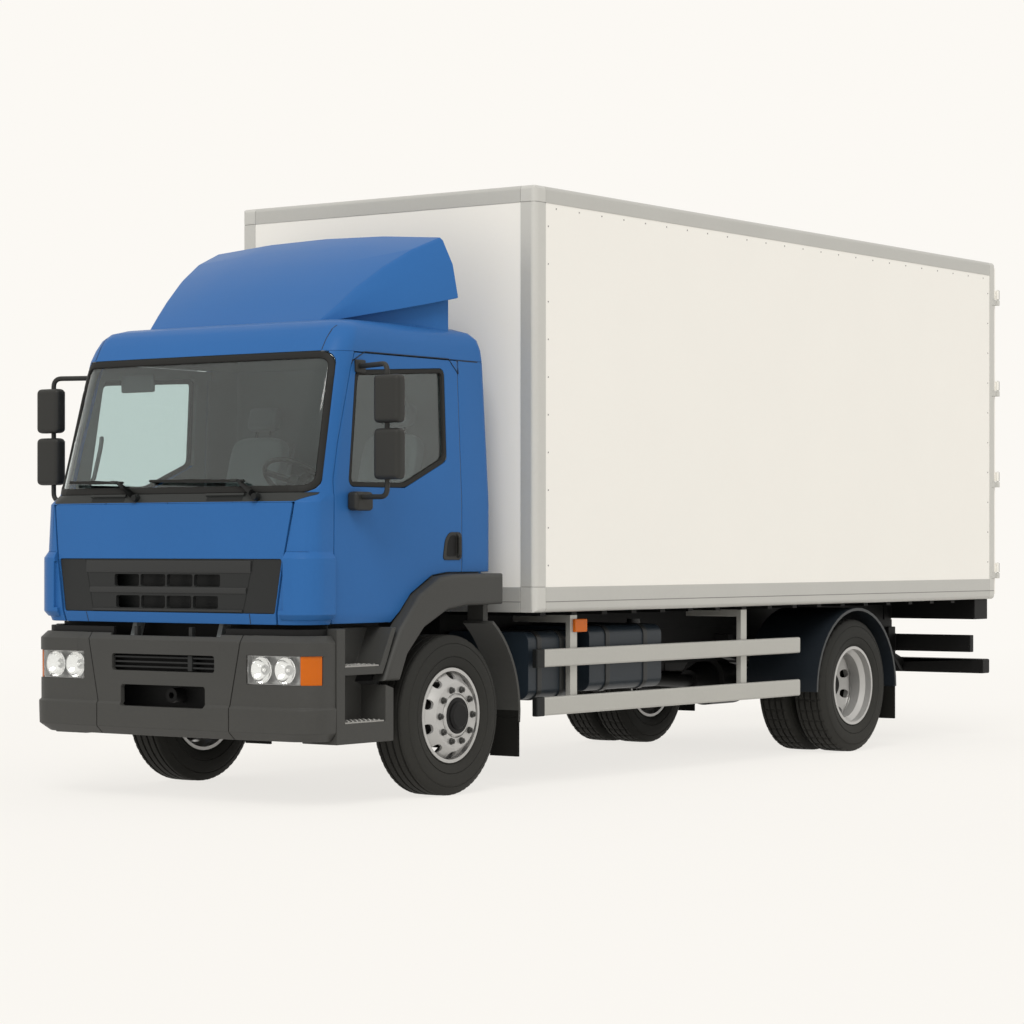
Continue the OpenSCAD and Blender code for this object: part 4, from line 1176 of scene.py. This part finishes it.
@dataclass(frozen=True)
class CabInterior:
    """Seats, dashboard, steering wheel and small fittings seen through the glass."""

    seat_x: float = 0.560
    pad_rows: int = 10
    pad_corner: float = 0.045
    edge_pull: float = 0.16
    crown_pull: float = 0.05

    def pad(self, name: str, profile: Sequence[tuple[float, float]], x: float, half: float,
            finish: Finish) -> None:
        """One upholstered pad, crowned across and along.

        Args:
            name: name of the piece.
            profile: (y, z) corners of its side outline.
            x: middle of the pad.
            half: half its width.
            finish: its cloth.
        """
        bm = bmesh.new()
        corners = [at(x - half, y, z) for y, z in profile]
        outline = spaced(soften(corners, self.pad_corner, 4), 0.06, closed=True)
        middle = sum(outline, Vector()) / len(outline)
        rings = []
        for k in range(self.pad_rows + 1):
            t = 2 * k / self.pad_rows - 1
            pull = 1.0 - self.edge_pull * abs(t) ** 6 - self.crown_pull * t * t
            shift = Vector((half * (1 + t) * 0.999, 0, 0))
            rings.append([middle + (point - middle) * pull + shift for point in outline])
        add_sweep(bm, rings)
        piece = make_piece(name, bm, finish, "cab", 70.0)
        piece.modifiers.clear()
        soft = piece.modifiers.new("cushion", "SUBSURF")
        soft.levels = soft.render_levels = 1

    def seats(self) -> None:
        """Two seats of three pads on plinths."""
        pads = (
            ("cushion", [(-0.520, 1.557), (0.010, 1.553), (0.020, 1.672), (-0.495, 1.692), (-0.532, 1.640)],
             0.248, FABRIC),
            ("back", [(-0.046, 1.690), (0.086, 1.650), (0.240, 2.275), (0.132, 2.295)], 0.233, FABRIC),
            ("headrest", [(0.143, 2.332), (0.238, 2.323), (0.262, 2.478), (0.187, 2.497)], 0.125,
             FABRIC_DARK),
        )
        for hand, x in (("left", self.seat_x), ("right", -self.seat_x)):
            for part, profile, half, cloth in pads:
                self.pad(f"seat_{part}_{hand}", profile, x, half, cloth)
        bm = bmesh.new()
        add_block(bm, at(self.seat_x - 0.18, -0.42, 1.42), at(self.seat_x + 0.18, -0.02, 1.555), 0.01)
        for x in (self.seat_x - 0.06, self.seat_x + 0.06):
            add_drum(bm, at(x, 0.185, 2.25), at(x, 0.205, 2.36), 0.009, sides=12)
        piece = make_piece("seat_plinths", both_sides(bm), BLACK_AND_SHADE, "cab")
        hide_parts("seats")

    def fittings(self) -> None:
        """Dashboard, steering wheel, inner mirror and grab handle."""
        dress("dashboard", DASH, 0.008)
        dress("steering_wheel", MIRROR_SHELL, smooth=40.0)
        block_piece("inner_mirror", DASH, [((-0.84, -0.885, 2.545), (-0.56, -0.855, 2.660), 0.014, 3)], "cab")
        bm = bmesh.new()
        grip = [at(-0.985, -1.02, 1.96), at(-0.945, -1.02, 1.99), at(-0.930, -0.97, 2.20),
                at(-0.960, -0.93, 2.26)]
        add_tube(bm, soften(grip, 0.05, 5, closed=False), 0.014)
        make_piece("grab_handle", bm, DASH, "cab")

    def build(self) -> None:
        """Makes every piece of the interior."""
        self.seats()
        self.fittings()


@dataclass(frozen=True)
class DoorMirrors:
    """Two mirror heads on a bent tube at each door."""

    x: float = 1.400
    y: float = -0.945
    heads: tuple = ((1.962, 2.268), (2.300, 2.588))
    half_w: float = 0.097
    half_d: float = 0.050
    glass_in: float = 0.016
    glass_up: float = 0.018
    tube_r: float = 0.016
    arm_low: float = 1.860
    arm_high: float = 2.655

    def build(self) -> None:
        """Makes the heads, glass, tubes and brackets of both doors."""
        shell, glass, arm = bmesh.new(), bmesh.new(), bmesh.new()
        half = self.half_w - self.glass_in
        for low, high in self.heads:
            add_block(shell, at(self.x - self.half_w, self.y - self.half_d, low),
                      at(self.x + self.half_w, self.y + self.half_d - 0.008, high), 0.030, 4)
            add_block(glass, at(self.x - half, self.y + self.half_d - 0.014, low + self.glass_up),
                      at(self.x + half, self.y + self.half_d - 0.005, high - self.glass_up), 0.004)
        inner, foot = self.x - 0.020, self.y + 0.125
        line = [at(1.150, self.y + 0.020, self.arm_low), at(inner, self.y, self.arm_low),
                at(inner, self.y, self.arm_high), at(1.066, foot, self.arm_high)]
        add_tube(arm, soften(line, 0.055, 6, closed=False), self.tube_r)
        add_block(arm, at(1.058, foot - 0.045, 2.615), at(1.086, foot + 0.045, 2.695), 0.010, 3)
        add_block(arm, at(1.099, self.y - 0.040, 1.778), at(1.180, self.y + 0.130, 1.893), 0.024, 4)
        for bm, name, finish in ((shell, "mirror_heads", MIRROR_SHELL),
                                 (glass, "mirror_glass", LOOKING_GLASS), (arm, "mirror_arm", MIRROR_SHELL)):
            left, right = door_pair(name, bm, finish)
            if bm is shell:
                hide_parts("mirrors_left")
                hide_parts("mirrors_right")


# Front lower end


@dataclass(frozen=True)
class Bumper:
    """Three-piece bumper with lamps, louvres and dark openings."""

    lamp_low: float = 0.742
    lamp_high: float = 0.908
    lamp_in: float = 0.672
    lamp_out: float = 1.049
    lamp_mid: float = 0.825
    bowls: tuple = ((0.764, 0.078), (0.942, 0.078))
    bowl_steps: int = 7
    bowl_depth: float = 0.048
    lens_sink: float = 0.002
    lens_t: float = 0.003
    tray_sink: float = 0.058
    tray_wall: float = 0.050
    tray_t: float = 0.002
    patch_grid: tuple = (14, 6)
    half_x: float = 1.160
    front: float = -1.430
    corner_r: float = 0.170
    bow: float = 0.030
    shoulder: float = 0.990
    cap_rows: tuple = (0.912, 0.950, 0.990, 1.012, 1.030)
    cap_wall: tuple = (-0.0006, 0.030)
    cap_rise: float = 0.040
    cap_inset: tuple = (0.008, 0.032)
    cap_setback: tuple = (0.010, 0.028)
    cap_lead: tuple = ((0.262, 0.0125), (0.131, 0.0062))
    cap_steps: int = 12
    cap_end: float = -1.160
    ledge: tuple = ((0.46, -1.352), (0.98, -1.336), (1.060, -1.290), (1.088, -1.200), (1.088, -1.152),
                    (1.062, -1.152), (1.060, -1.195), (1.040, -1.270), (0.97, -1.312), (0.46, -1.328))
    ledge_z: float = 1.020

    def body(self) -> None:
        """Bumper mouldings and what shows in their openings: near-black backs, ledges and gap plate as
        painted shade.
        """
        for node in ("bumper_centre", "bumper_corners"):
            dress(node, TRIM, 0.004)
        # Near-black plates behind the louvres and the tow opening: painted shade in the openings.
        block_piece("louvre_shade_back", HUB_AND_SHADE, [((-0.50, -1.345, 0.780), (0.50, -1.335, 0.925), 0.002)])
        block_piece("tow_opening_shade_back", HUB_AND_SHADE, [((-0.62, -1.235, 0.545), (0.62, -1.225, 0.745), 0.002)])
        # Ledge on top of each bumper end, near black as painted shade in the gap under the cab.
        bm = bmesh.new()
        add_prism(bm, [at(x, y, self.ledge_z) for x, y in self.ledge], Vector((0, 0, 0.048)), 0.004)
        make_piece("bumper_shade_ledges", both_sides(bm), HUB_AND_SHADE, "chassis")
        bm = bmesh.new()
        add_sweep(bm, [self.cap_ring(z) for z in self.cap_rows])
        make_piece("bumper_caps", both_sides(bm), TRIM, "chassis", 25.0)
        # Near-black plate across the gap behind the bumper: painted shade that stops the backdrop showing
        # through.
        block_piece("gap_shade_plate", HUB_AND_SHADE, [((-1.085, -1.150, 1.000), (1.085, -1.142, 1.088), 0.002)])
        slats = [((-0.415, -1.395, z - 0.008), (0.415, -1.346, z + 0.004), 0.003)
                 for z in (0.826, 0.856, 0.886)]
        slats.append(((0.215 - 0.018, -1.402, 0.803), (0.215 + 0.018, -1.346, 0.900), 0.004))
        slats += [((x - 0.014, -1.380, 1.012), (x + 0.014, -1.346, 1.072), 0.004) for x in (-0.250, 0.200)]
        block_piece("bumper_louvres", TRIM_DARK, slats)

    def cap_ring(self, z: float) -> list[Vector]:
        """Plan of a bumper corner's upper band.

        Args:
            z: height of the ring.

        Returns:
            The outer line from the middle to the side, then the inner line back.
        """
        share = max(0.0, (z - self.shoulder) / self.cap_rise)
        inset, setback = (low + more * share for low, more in (self.cap_inset, self.cap_setback))
        half, front, radius = self.half_x - inset, self.front + setback, self.corner_r
        x, y = half - radius, front + self.bow + radius
        turn = [math.radians(90 / self.cap_steps * k - 90) for k in range(self.cap_steps + 1)]
        line = []
        for wall in self.cap_wall:
            row = [(x - lead, y - radius - bow + wall) for lead, bow in self.cap_lead]
            row += [(x + (radius - wall) * math.cos(a), y + (radius - wall) * math.sin(a)) for a in turn]
            row.append((half - wall, self.cap_end))
            line += row if not line else row[::-1]
        return [at(px, py, z) for px, py in line]

    def patch(self, skin: Skin, low: Vector, high: Vector, sink: float) -> BMesh:
        """Sheet that follows the bumper between two corners.

        Args:
            skin: surface that it follows.
            low: lower inner corner.
            high: upper outer corner.
            sink: how far it lies under the surface.

        Returns:
            The sheet, one face thick.
        """
        bm = bmesh.new()
        columns, rows = self.patch_grid
        bmesh.ops.create_grid(bm, x_segments=columns, y_segments=rows, size=0.5)
        for vert in bm.verts:
            across, up = vert.co.x + 0.5, vert.co.y + 0.5
            target = Vector((low.x + across * (high.x - low.x), low.y, low.z + up * (high.z - low.z)))
            place, _ = skin.drop(target, BACK)
            vert.co = Vector((target.x, place.y + sink, target.z))
        bmesh.ops.recalc_face_normals(bm, faces=bm.faces)
        if sum(face.normal.y for face in bm.faces) > 0:
            bmesh.ops.reverse_faces(bm, faces=bm.faces)
        return bm

    def lamps(self) -> None:
        """Headlamps with two bowls each behind a clear lens."""
        skin = Skin("headlamps")
        low, high = ahead(self.lamp_in, self.lamp_low), ahead(self.lamp_out, self.lamp_high)
        lens = self.patch(skin, low, high, self.lens_sink)
        bmesh.ops.solidify(lens, geom=lens.faces[:], thickness=self.lens_t)
        make_piece("headlamp_lens", both_sides(lens), LENS, "chassis", 60.0)
        tray = self.patch(skin, low, high, self.tray_sink)
        rim = [edge for edge in tray.edges if edge.is_boundary]
        out = bmesh.ops.extrude_edge_only(tray, edges=rim)["geom"]
        verts = [item for item in out if isinstance(item, BMVert)]
        bmesh.ops.translate(tray, verts=verts, vec=(0, -self.tray_wall, 0))
        bmesh.ops.solidify(tray, geom=tray.faces[:], thickness=self.tray_t)
        piece = make_piece("headlamp_tray", both_sides(tray), BEZEL, "chassis", 30.0)
        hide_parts("headlamps")
        bowls = bmesh.new()
        for x, radius in self.bowls:
            front = skin.drop(ahead(x, self.lamp_mid), BACK)[0].y
            profile = [(radius + 0.004, 0.012), (radius, 0.010)]
            for k in range(self.bowl_steps, 0, -1):
                share = k / self.bowl_steps
                profile.append((radius * share, 0.014 + self.bowl_depth * (1 - share ** 2)))
            profile += [(0.013, 0.060), (0.012, 0.034), (0.006, 0.028), (0.0005, 0.028)]
            add_lathe(bowls, profile, Vector((x, front + 0.004, self.lamp_mid)), BACK, 40)
        make_piece("headlamp_bowls", both_sides(bowls), CHROME, "chassis", 45.0)
        dress("amber_lamps", AMBER, 0.002)

    def build(self) -> None:
        """Makes every piece of the bumper."""
        self.body()
        self.lamps()


@dataclass(frozen=True)
class StepsAndArches:
    """Step wells, treads, wheel arches and front mudguards."""

    treads: tuple = ((0.500, -1.066, -0.690), (0.838, -1.066, -0.742))
    tread_rows: int = 9
    tread_x: tuple = (0.985, 1.156)
    tread_t: float = 0.010
    stud_x: tuple = (1.010, 1.050, 1.090, 1.130)
    flap_top: float = 0.462
    arch_face: float = 1.174

    def is_lip(self, edge: BMEdge) -> bool:
        """True for the outer edge of a wheel arch."""
        return min(abs(vert.co.x) for vert in edge.verts) > self.arch_face

    def build(self) -> None:
        """Makes the arches, guards, steps and their treads."""
        dress("wheel_arches", TRIM, 0.030, keep=self.is_lip, segments=4)
        dress("steps", TRIM, 0.005)
        dress("front_mudguards", TRIM, 0.003,
              splits=[(FLAP, lambda face: face.calc_center_median().z < self.flap_top)])
        bm = bmesh.new()
        inner, outer = self.tread_x
        for z, front, back in self.treads:
            add_block(bm, at(inner, front, z), at(outer, back, z + self.tread_t), 0.003)
            for k in range(self.tread_rows):
                y = front + (back - front) * (k + 0.5) / self.tread_rows
                for x in self.stud_x:
                    add_drum(bm, at(x, y, z + 0.009), at(x, y, z + 0.014), 0.010, 0.007, 10)
        make_piece("step_treads", both_sides(bm), TREAD, "chassis")


# Wheels


@dataclass(frozen=True)
class Wheel:
    """Tyres and wheel of one corner."""

    tyre_node: str
    wheel_node: str
    body: str
    side: int
    centres: tuple
    axle_y: float
    block_tread: bool
    face_x: float

    tyre_r: float = 0.505
    axle_z: float = 0.505
    half_w: float = 0.1375
    bead_r: float = 0.2865
    groove_x: tuple = (0.026, 0.078)
    groove_w: float = 0.008
    groove_d: float = 0.014
    dual: float = 0.312
    face_out: float = 0.156
    rear_face_in: float = 0.012
    steps: int = 252
    cut_pitch: int = 7
    cut_r: float = 0.498
    cut_d: float = 0.008
    nick_pitch: int = 4
    nick_r: tuple = (0.4980, 0.5032)
    nick_d: float = 0.003
    nick_x: float = 0.09
    stud_r: float = 0.1675
    stud_count: int = 10
    nut_rings: tuple = ((-0.002, 0.006, 0.023, 0.021, 16), (0.0, 0.020, 0.019, 0.018, 6),
                        (0.016, 0.028, 0.009, 0.008, 10))
    hub_r: float = 0.095
    drum_r: tuple = (0.18, 0.2085)
    hub_ring: tuple = ((0.084, -0.004), (0.084, 0.014), (0.108, 0.0145), (0.114, 0.012), (0.114, -0.004))

    def outline(self) -> list[tuple[float, float]]:
        """Half of the tyre's section, from the bead out and up to the crown, as (radius, offset).

        Returns:
            Its points.
        """
        side = [(self.bead_r, 0.100), (0.293, 0.110), (0.303, 0.1165), (0.308, 0.1125), (0.313, 0.1195),
                (0.340, 0.1300), (0.362, 0.1348), (0.3665, 0.1300), (0.371, 0.1352), (0.395, 0.1372),
                (0.418, 0.1368), (0.436, 0.1338), (0.445, 0.1314), (0.4495, 0.1262), (0.454, 0.1297),
                (0.468, 0.1245), (0.481, 0.1170), (0.492, 0.1105), (0.5005, 0.1050)]
        tread = [(0.5030, 0.0980)]
        for x in reversed(self.groove_x):
            crown = self.tyre_r - 0.002 * (x / 0.098) ** 2
            tread += [(crown, x + self.groove_w), (crown - self.groove_d, x + self.groove_w * 0.5),
                      (crown - self.groove_d, x - self.groove_w * 0.5), (crown, x - self.groove_w)]
        return side + tread

    def tyre(self, bm: BMesh, x: float) -> None:
        """Adds one tyre with its ribs, and cross cuts where it drives or nicks where it steers.

        Args:
            bm: mesh that gets the tyre.
            x: the tyre's middle.
        """
        half = self.outline()
        profile = half + [(radius, -offset) for radius, offset in reversed(half)]
        start = len(bm.verts)
        centre = at(x, self.axle_y, self.axle_z)
        add_lathe(bm, profile, centre, Vector((1, 0, 0)), self.steps, closed=True)
        bm.verts.ensure_lookup_table()
        pitch = self.cut_pitch if self.block_tread else self.nick_pitch
        nick_low, nick_high = self.nick_r
        for vert in bm.verts[start:]:
            arm = vert.co - centre
            radius = math.hypot(arm.y, arm.z)
            if round(math.atan2(arm.y, arm.z) / (2 * math.pi) * self.steps) % pitch:
                continue
            depth = 0.0
            if self.block_tread and radius > self.cut_r:
                depth = self.cut_d
            elif not self.block_tread and nick_low < radius < nick_high and abs(arm.x) > self.nick_x:
                depth = self.nick_d
            if depth:
                vert.co = centre + Vector((arm.x, *(Vector((arm.y, arm.z)) * (1 - depth / radius))))

    def nuts(self, bm: BMesh) -> None:
        """Adds ten hexagon nuts with washers and stud ends on the wheel's face.

        Args:
            bm: mesh that gets the nuts.
        """
        out = Vector((self.side, 0, 0))
        for k in range(self.stud_count):
            a = 2 * math.pi * (k + 0.5) / self.stud_count
            foot = at(self.face_x, self.axle_y + self.stud_r * math.sin(a),
                      self.axle_z + self.stud_r * math.cos(a))
            for start, end, radius, far, sides in self.nut_rings:
                add_drum(bm, foot + out * start, foot + out * end, radius, far, sides)

    def build(self) -> None:
        """Makes the tyre, wheel, nuts and hub ring of this corner."""
        bm = bmesh.new()
        for x in self.centres:
            self.tyre(bm, x)
        tyre = make_piece(f"{self.tyre_node}_rubber", bm, RUBBER, self.body, 40.0)
        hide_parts(self.tyre_node)
        middle = at(0, self.axle_y, self.axle_z)

        def radii(face: BMFace) -> list[float]:
            """Distances of a face's corners from the axle."""
            return [math.hypot(vert.co.y - middle.y, vert.co.z - middle.z) for vert in face.verts]

        def is_hub(face: BMFace) -> bool:
            """True for the hub."""
            return max(radii(face)) < self.hub_r

        def is_drum(face: BMFace) -> bool:
            """True for the brake drum behind the hand holes."""
            inner = max(abs(vert.co.x) for vert in face.verts) < abs(self.face_x) - 0.026
            return inner and self.drum_r[0] < min(radii(face)) and max(radii(face)) < self.drum_r[1]

        dress(self.wheel_node, SILVER, smooth=30.0, splits=[(HUB_AND_SHADE, is_hub), (AXLE, is_drum)])
        bm = bmesh.new()
        self.nuts(bm)
        make_piece(f"{self.wheel_node}_nuts", bm, NUT, self.body, 30.0)
        bm = bmesh.new()
        out, foot = Vector((self.side, 0, 0)), at(self.face_x, self.axle_y, self.axle_z)
        add_lathe(bm, self.hub_ring, foot, out, 56, closed=True)
        make_piece(f"{self.wheel_node}_hub_ring", bm, HUB_AND_SHADE, self.body, 40.0)


def wheels() -> list[Wheel]:
    """The four corners, from their places in the frame.

    Returns:
        One wheel for each corner.
    """
    made = []
    for hand, side in (("left", 1), ("right", -1)):
        low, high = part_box(f"front_tyre_{hand}")
        middle = (low.x + high.x) / 2
        made.append(Wheel(f"front_tyre_{hand}", f"front_wheel_{hand}", f"wheel_front_{hand}", side,
                          (middle,), 0.0, False, middle + side * Wheel.face_out))
        low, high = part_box(f"rear_tyres_{hand}")
        outer = (high.x if side > 0 else low.x) - side * Wheel.half_w
        inner = outer - side * Wheel.dual
        axle = (low.y + high.y) / 2 - AXLE_Y
        face = outer - side * Wheel.face_out + side * Wheel.rear_face_in
        made.append(Wheel(f"rear_tyres_{hand}", f"rear_wheels_{hand}", f"wheel_rear_{hand}", side,
                          (inner, outer), axle, True, face))
    return made


# Box body


@dataclass(frozen=True)
class BoxBody:
    """Panels, edge profiles, doors and rivets of the load box."""

    front: float = 0.765
    rear: float = 7.350
    half_w: float = 1.250
    low: float = 1.300
    high: float = 3.795
    post: float = 0.120
    rivet_r: float = 0.006
    rivet_pitch: float = 0.245
    rivet_edge: float = 0.030
    rivet_columns: int = 24
    rivet_lead: float = 0.12
    rivet_foot: float = 0.14
    rail_h: float = 0.130
    rear_post: float = 0.125
    step_z: float = 1.204
    line_w: float = 0.006
    line_proud: float = 0.001

    def panels(self) -> None:
        """White panels, floor and light metal edges."""
        for node in ("box_front_wall", "box_sides", "box_roof"):
            paint(node, PANEL)
        dress("box_floor", FRAME, splits=[(FLOOR_PLY, self.is_deck)])
        post_front = self.front + self.post + AXLE_Y + 0.0005

        def is_post(face: BMFace) -> bool:
            """True for a front corner post."""
            centre = face.calc_center_median()
            return centre.y < post_front and abs(centre.x) > self.half_w - self.post

        dress("box_edge_rails", EDGE, 0.004, splits=[(POST, is_post)])
        dress("rear_frame", POST, 0.003)

    @staticmethod
    def is_deck(face: BMFace) -> bool:
        """True for the upper face of the load floor."""
        return face.normal.z > 0.9 and face.calc_center_median().z > 1.19

    def is_panel(self, face: BMFace) -> bool:
        """True for the plain door panel of a rear door."""
        return face.calc_center_median().y < self.rear + AXLE_Y + 0.0004

    def doors(self) -> None:
        """Rear doors: white panels with metal hinges and lock bars."""
        for hand in ("left", "right"):
            dress(f"rear_door_{hand}", GUARD, 0.002, splits=[(PANEL, self.is_panel)])

    def rivets(self) -> None:
        """Rows of rivet heads along the edges of the side panels."""
        bm = bmesh.new()
        face = self.half_w - 0.004

        def head(y: float, z: float) -> None:
            """Adds one rivet head."""
            add_drum(bm, at(face - 0.001, y, z), at(face + 0.003, y, z), self.rivet_r, self.rivet_r * 0.7, 8)

        first = self.front + self.post
        gap = (self.rear - first - 3 * self.rivet_lead) / (self.rivet_columns - 1)
        for k in range(self.rivet_columns):
            y = first + self.rivet_lead + k * gap
            for z in (self.high - self.rivet_edge, self.low - self.rail_h):
                head(y, z)
        for k in range(int((self.high - self.low) / self.rivet_pitch)):
            for y in (first + self.rivet_edge, self.rear - self.rear_post - self.rivet_edge):
                head(y, self.low + self.rivet_foot + k * self.rivet_pitch)
        make_piece("box_rivets", both_sides(bm), RIVET, "chassis")

    def lines(self) -> None:
        """Step lines of the edge profiles and joints of the corner caps."""
        skin = Skin("box_edge_rails", "rear_frame")
        first, side = self.front + self.post, self.half_w - self.post
        bm = bmesh.new()
        for line, along in (
            (spaced([aside(first, self.step_z), aside(self.rear - 0.05, self.step_z)], 0.8), INWARD),
            ([aside(self.front + 0.04, self.high), aside(first, self.high)], INWARD),
            ([ahead(self.half_w - 0.04, self.high), ahead(side, self.high)], BACK),
        ):
            add_ribbon(bm, line, skin, along, self.line_w, self.line_proud)
        make_piece("box_lines", both_sides(bm), RIVET, "chassis", STRIP_SMOOTH)
        bm = bmesh.new()
        line = [ahead(-side, self.step_z), ahead(side, self.step_z)]
        add_ribbon(bm, line, skin, BACK, self.line_w, self.line_proud)
        make_piece("box_front_line", bm, RIVET, "chassis", STRIP_SMOOTH)

    def build(self) -> None:
        """Makes every piece of the box."""
        self.panels()
        self.doors()
        self.rivets()
        self.lines()


# Underframe


@dataclass(frozen=True)
class Underframe:
    """Frame, running gear, tanks, guards, wings and rear bars."""

    guard_front: float = 0.850
    guard_rails: tuple = ((0.458, 0.584), (0.774, 0.896))
    straps: tuple = (1.000, 1.257, 1.800, 2.263)
    strap_half: float = 0.0255
    flap_top: float = 0.474
    flap_front: float = 5.6
    lip_low: float = 0.44

    def solids(self) -> None:
        """Finishes of the frame, the running gear and the equipment on the frame."""
        for node, finish in (("chassis_frame", FRAME), ("engine", IRON), ("propshaft", AXLE),
                             ("front_axle", AXLE), ("rear_axle", AXLE), ("leaf_springs", SPRING),
                             ("knuckle_left", AXLE), ("knuckle_right", AXLE), ("tie_rod", AXLE)):
            paint(node, finish)
        dress("battery_box", BATTERY, 0.006)
        dress("silencer", EXHAUST, smooth=30.0)
        dress("side_guards", GUARD, 0.002)
        dress("underrun_bar", FRAME, 0.006)
        dress("rear_lamp_bar", FRAME, 0.004)

    def tanks(self) -> None:
        """Tanks with straps in another finish."""
        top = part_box("fuel_tanks")[1]

        def is_strap(face: BMFace) -> bool:
            """True for a strap."""
            y = face.calc_center_median().y - AXLE_Y
            return any(abs(y - place) < self.strap_half for place in self.straps)

        dress("fuel_tanks", TANK, 0.003, 30.0, splits=[(STRAP, is_strap)])
        bm = bmesh.new()
        add_drum(bm, at(0.98, 2.32, top.z - 0.012), at(0.98, 2.32, top.z + 0.028), 0.05, 0.045, 24)
        make_piece("filler_cap", bm, STRAP, "chassis")

    def wings(self) -> None:
        """Rear wings with a grey lip along the outer edge, and rubber flaps."""
        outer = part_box("rear_wings")[1].x

        def is_flap(face: BMFace) -> bool:
            """True for a rubber flap."""
            centre = face.calc_center_median()
            return centre.z < self.flap_top and centre.y - AXLE_Y > self.flap_front

        def is_lip(face: BMFace) -> bool:
            """True for the outer lip."""
            centre = face.calc_center_median()
            return abs(centre.x) > outer - 0.002 and centre.z > self.lip_low

        dress("rear_wings", WING, 0.003, splits=[(FLAP, is_flap), (WING_LIP, is_lip)])

    def small(self) -> None:
        """End caps of the guard rails, rear lamps and the blank plate."""
        front = self.guard_front
        caps = [((1.166, front - 0.006, low), (1.208, front + 0.085, high), 0.008, 3)
                for low, high in self.guard_rails]
        block_piece("guard_caps", BLACK_AND_SHADE, caps, pair=True)
        lenses = (("rear_lamps", RED, 0.905, 1.060), ("rear_indicators", AMBER, 1.066, 1.175))
        for name, lens, low, high in lenses:
            block_piece(name, lens, [((low, 7.296, 0.990), (high, 7.306, 1.070), 0.004)], pair=True)
        block_piece("blank_plate", PANEL, [((-0.260, 7.279, 0.990), (0.260, 7.286, 1.100), 0.003)])

    def build(self) -> None:
        """Makes every piece of the underframe."""
        self.solids()
        self.tanks()
        self.wings()
        self.small()


def main() -> None:
    """Builds the studio and every sub-assembly in order."""
    logging.basicConfig(level=logging.INFO, format="%(name)s %(message)s")
    Studio().build()
    for part in (CabShell(), CabNose(), CabInterior(), DoorMirrors(), Bumper(), StepsAndArches(), *wheels(),
                 BoxBody(), Underframe()):
        part.build()
        LOG.info("built %s", type(part).__name__)


if __name__ == "__main__":
    main()
